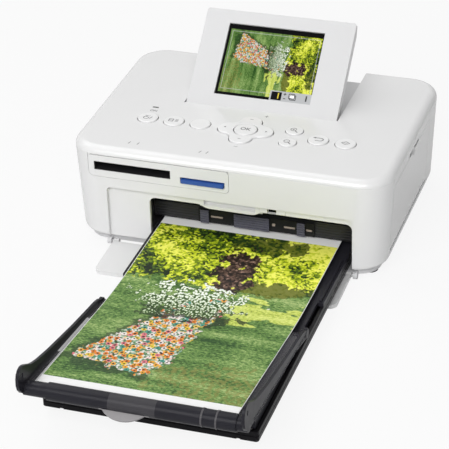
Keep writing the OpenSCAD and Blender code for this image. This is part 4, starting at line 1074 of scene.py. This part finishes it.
tray = in_base("paper_tray", 0, 4.4, 10.4)
round_edges(tray, upright, 1.6, 6)
round_edges(tray, below(4.5), 0.5, 3)
round_edges(tray, above(10.3), 0.3, 2)
cut(tray, round_edges(in_base("hollow", 1.6, 5.8, 20), upright, 1.2, 5))
for x in (BASE[0] + 9, BASE[1] - 11):
    cut(tray, block("groove", (x, BASE[2] - 1, 3), (x + 2, BASE[3] + 1, 5.1)))
line = in_base("step_line", -2, 7.3, 7.8)
cut(line, round_edges(in_base("core", 0.35, 7, 8), upright, 1.3, 5))
cut(tray, line)
black_gloss = Finish("black_gloss", Coat_Weight=0.03, Coat_Roughness=0.08, Specular_IOR_Level=0.07)
black_gloss.mottle(black_gloss.grain(70, 4), (0.006, 0.006, 0.007), (0.014, 0.013, 0.015), 0.2, 0.16)
black_gloss.bump(black_gloss.grain(900, 2), 0.00003, 0.5)
mount(polish(tray), "cassette", black_gloss, "black_gloss", "cassette_base")

paper = Finish("blank_paper", Roughness=0.55)
paper_at = paper.node("TexCoord", output="Object")
# Darker lines across the stack's sides between the sheets: painted shade in the gaps.
sheet_gap_shade = paper.node("TexWave", {"Vector": paper_at, "Scale": 800}, bands_direction="Z")
paper.mottle(sheet_gap_shade, (0.62, 0.62, 0.6), (0.8, 0.8, 0.78))
paper.bump(paper.grain(1200, 3), 0.00004, 0.4)
dress(paper, "paper_stack")

# ---------------- cassette lid
# The smoke plastic lid over the paper. Long ribs carry the print as it comes
# out, and two posts at its front edge hold the flap's pins.
AXIS, PITCH = (0, -138.5, 14.4), 6.3
smoke = Finish("smoke_plastic", Specular_IOR_Level=0.12)
x, y, z = smoke.axes()
across, forward, height = x * 1000, (at(*AXIS).y - y) * 1000, z * 1000 - AXIS[2]
lean, rise = math.cos(math.radians(PITCH)), math.sin(math.radians(PITCH))
level, reach = height * lean - forward * rise, forward * lean + height * rise
floor = within(level, -0.4, 1.5) * within(reach, 3, 91.5)
tab = (reach > 98.2) * (level < -1.9) * within(across, -5, 20)
# The patch of the roll above the tab is a painted reflection of a soft box; the two raised bands on the roll
# are painted lighter too.
bands = (reach > 91) * (within(across, 45.2, 46.1) + within(across, 52.4, 53.3))
painted_reflection = (reach > 91) * within(across, -0.3, 23.2)
cloud = smoke.grain(30, 3)
tint = smoke.blend(cloud, (0.014, 0.014, 0.018), (0.026, 0.025, 0.032))
tint = smoke.blend(floor, tint, (0.085, 0.083, 0.095))
tint = smoke.blend(painted_reflection * 0.3 + bands * 0.7, tint, (0.12, 0.115, 0.12))
tint = smoke.blend(tab, tint, (0.3, 0.29, 0.295))
smoke.set(Base_Color=tint, Roughness=0.24 + 0.14 * smoke.grain(160, 3), Alpha=0.97 - 0.57 * floor)
smoke.bump(smoke.grain(700, 2), 0.00003, 0.5)
half = [(BASE[0], BASE[3]), (BASE[0], -107), (-39.2, -107), (-39.2, -130.5), (-41, -130.5),
        (-41, AXIS[1]), (-37.4, AXIS[1]), (-37.4, -136.5)]
rim = half + [(2 * MIDDLE - x, y) for x, y in half[::-1]]
lid = plate("tray_lid", [(x, y, 10.42) for x, y in rim], (0, 0, 2.18))
cut(lid, block("window", (MIDDLE - 14, -62, 5), (MIDDLE + 14, -27, 20)))
for x in (-47, -16, 15, 46):
    rib = block("rib", (MIDDLE + x, -130, 11.4), (MIDDLE + x + 1.2, -66, 14.75))
    round_edges(rib, both(running("x", 1), above(14)), 2.4, 6)
    weld(lid, rib)
for x in (BASE[0] + 1.4, BASE[1] - 2.8):
    weld(lid, block("side_rail", (x, -106, 12), (x + 1.4, -66, 13.6)))
for x in (-40.95, 64.15):
    foot = [(AXIS[1] + 0.05, 12.5), (AXIS[1] + 0.05, 12), (AXIS[1] + 1.8, 12)]
    post = arc(AXIS[1:], 1.8, 0, 265, 24) + foot
    weld(lid, plate("post", [(x, y, z) for y, z in post], (1.4, 0, 0)))
soften(lid, 0.2)
mount(polish(lid), "cassette", smoke, "smoke", "cassette_lid")

# ---------------- flap
# The smoke plastic flap that catches the print: a thin floor between two flared
# walls with raised horns, a rolled front edge with a finger tab, and a skirt.
FLARE, FLAP, ROLL = 0.57, (-42.9, 67.5), (96.1, 0.5)


def on_flap(x, u, w):
    """A place on the flap laid level: x across, u forward from its hinge, w up."""
    return (x, AXIS[1] - u, AXIS[2] + w)


horn = [(0.6, -2.1), (20, -0.2), (92, -0.6), (98, -0.8), (102, 0.6), (104.5, 3.2), (105.6, 6), (105.7, 9.4),
        (105, 11.8), (103.4, 13.4), (101.4, 14.1), (99.6, 14), (97, 13.2), (94, 11.9), (91, 10.5), (87, 9.4),
        (82, 8.5), (68, 7), (38, 5.1), (28, 4.8), (18, 4.4), (8, 4.15), (4, 3.5), (1, 2.3)]
flap_floor = on_flap(FLAP[0] + 0.8, ROLL[0] - 2, -0.2), on_flap(FLAP[1] - 0.8, 2.9, 1.3)
flap = block("catch_flap", *flap_floor)
for side in (1, -1):
    hinge_x = FLAP[0] if side == 1 else FLAP[1]
    wall = plate("wall", [on_flap(hinge_x, u, w) for u, w in horn], (1.5 * side, 0, 0))
    outer = both(above(AXIS[2] + 1.5), lambda a, b: max(a.y, b.y) < AXIS[1] - 22)
    round_edges(wall, both(outer, lambda a, b: abs(a.x - b.x) < 0.01), 0.5, 3)
    corner = at(hinge_x, AXIS[1], AXIS[2])
    wall.matrix_world = (Matrix.Translation(corner) @ Matrix.Rotation(math.radians(-FLARE * side), 4, "Z")
                         @ Matrix.Translation(-corner))
    weld(flap, fix_place(wall))
    ear = (hinge_x - 0.2 * side, hinge_x + 1.6 * side)
    weld(flap, rod("ear", (ear[0], *AXIS[1:]), (ear[1], *AXIS[1:]), 2.6, 40))
    slot = block("horn_slot", on_flap(hinge_x - 4, 101.6, 8.2), on_flap(hinge_x + 4, 100.2, 10.8))
    cut(flap, round_edges(slot, running("x", 5), 0.6, 4))
edge_roll = rod("roll", on_flap(FLAP[0] - 0.4, *ROLL), on_flap(FLAP[1] + 0.4, *ROLL), 3.7, 56)
weld(edge_roll, rod("thick", on_flap(FLAP[0] + 11.5, *ROLL), on_flap(FLAP[1] - 5, *ROLL), 4.4, 64))
for x in (45.2, 52.4):
    weld(edge_roll, rod("band", on_flap(x, *ROLL), on_flap(x + 0.9, *ROLL), 4.62, 64))
BORE = (FLAP[0] + 8, FLAP[1] - 8)
cut(edge_roll, rod("bore", *(on_flap(x, ROLL[0] - 0.4, ROLL[1] - 0.6) for x in BORE), 2.8, 48))
cut(edge_roll, block("under", on_flap(BORE[0], ROLL[0] - 0.5, -6), on_flap(BORE[1], ROLL[0] - 6, -0.2)))
weld(flap, edge_roll)
TAB_X, TAB_HALF, TAB_DEEP, TAB_TURN = 7.3, 11.6, 5.9, 32
tab_r = (TAB_HALF ** 2 + TAB_DEEP ** 2) / (2 * TAB_DEEP)
tab_root = (0, AXIS[1] - ROLL[0] - 2.5, AXIS[2] + ROLL[1] - 2.1)
half_arc = math.degrees(math.asin(TAB_HALF / tab_r))
bow = [(TAB_X + px, tab_root[1] - TAB_DEEP + tab_r - py, tab_root[2] - 0.5)
       for px, py in arc((0, 0), tab_r, 90 - half_arc, 90 + half_arc, 20)]
weld(flap, turned(plate("finger_tab", bow, (0, 0, 1)), tab_root, TAB_TURN))
turned(flap, AXIS, -PITCH)
for x in (BASE[0] + 2, BASE[1] - 3.4):
    side = plate("skirt", [(x, -146, 10.7), (x, -217, 10.7), (x, -217, 23.2), (x, -146, 15.4)], (1.4, 0, 0))
    weld(flap, side)
weld(flap, block("front_skirt", (BASE[0] + 2, -217, 10.7), (BASE[1] - 2, -215.6, 23.2)))
soften(flap, 0.15)
mount(polish(flap), "flap", smoke, "smoke", "flap_lid")

# ---------------- finished print
# The glossy sheet that has just come out. It lies on the ribs and bends up onto
# the flap, with a wide white tab at each end and a narrow edge along its sides.
SHEET = (-39.4, 60.6, -48.0, -228.6)
BEND, LAID = (-105.0, -150.0), 14.9
bend_r = (BEND[0] - BEND[1]) / math.sin(math.radians(PITCH))


def sheet_height(y, lift):
    """Height of the sheet's underside at a distance y, or a lift above it."""
    if y > BEND[0]:
        return LAID + lift
    if y > BEND[1]:
        return LAID + bend_r - math.sqrt(bend_r ** 2 - (BEND[0] - y) ** 2) + lift
    start = bend_r * (1 - math.cos(math.radians(PITCH)))
    return LAID + start + (BEND[1] - y) * math.tan(math.radians(PITCH)) + lift


steps = [SHEET[2], -80, *range(-105, -155, -5), -165, -180, -195, -210, SHEET[3]]
lower = [(SHEET[0], y, sheet_height(y, 0)) for y in steps]
upper = [(SHEET[0], y, sheet_height(y, 0.3)) for y in steps]
sheet = plate("garden_print", lower + upper[::-1], (SHEET[1] - SHEET[0], 0, 0))
flat_place = sheet.data.uv_layers.new(name="flat_place")
for corner in sheet.data.loops:
    flat_place.data[corner.index].uv = sheet.data.vertices[corner.vertex_index].co.xy
photo = Finish("printed_picture", Roughness=0.4, Specular_IOR_Level=0.2)
x, y, z = photo.axes(photo.node("UVMap", uv_map="flat_place"))
across = x * 1000 - SHEET[0]
ahead = (y - (body_y + SHEET[3] / 1000)) * 1000
PICTURE = (6.7, 172.3)
stretch = GARDEN_LONG / (PICTURE[1] - PICTURE[0])
picture = garden(photo, across, (ahead - PICTURE[0]) * stretch)
printed_part = within(ahead, *PICTURE) * within(across, 0.25, 99.75)
photo.set(Base_Color=photo.blend(printed_part, (0.93, 0.93, 0.925), picture))
photo.bump(photo.grain(1500, 3), 0.00002, 0.3)
back_white = Finish("sheet_back", Roughness=0.5)
back_white.mottle(back_white.grain(900, 3), (0.8, 0.8, 0.79), (0.86, 0.86, 0.85))
sheet.data.materials.append(back_white.material)
sheet.data.materials.append(photo.material)
for face in sheet.data.polygons:
    face.material_index = int(face.normal.z > 0.5)
alone(sheet)
bpy.ops.object.shade_smooth_by_angle(angle=SMOOTH_ANGLE)
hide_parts("photo_print")
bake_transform(sheet)
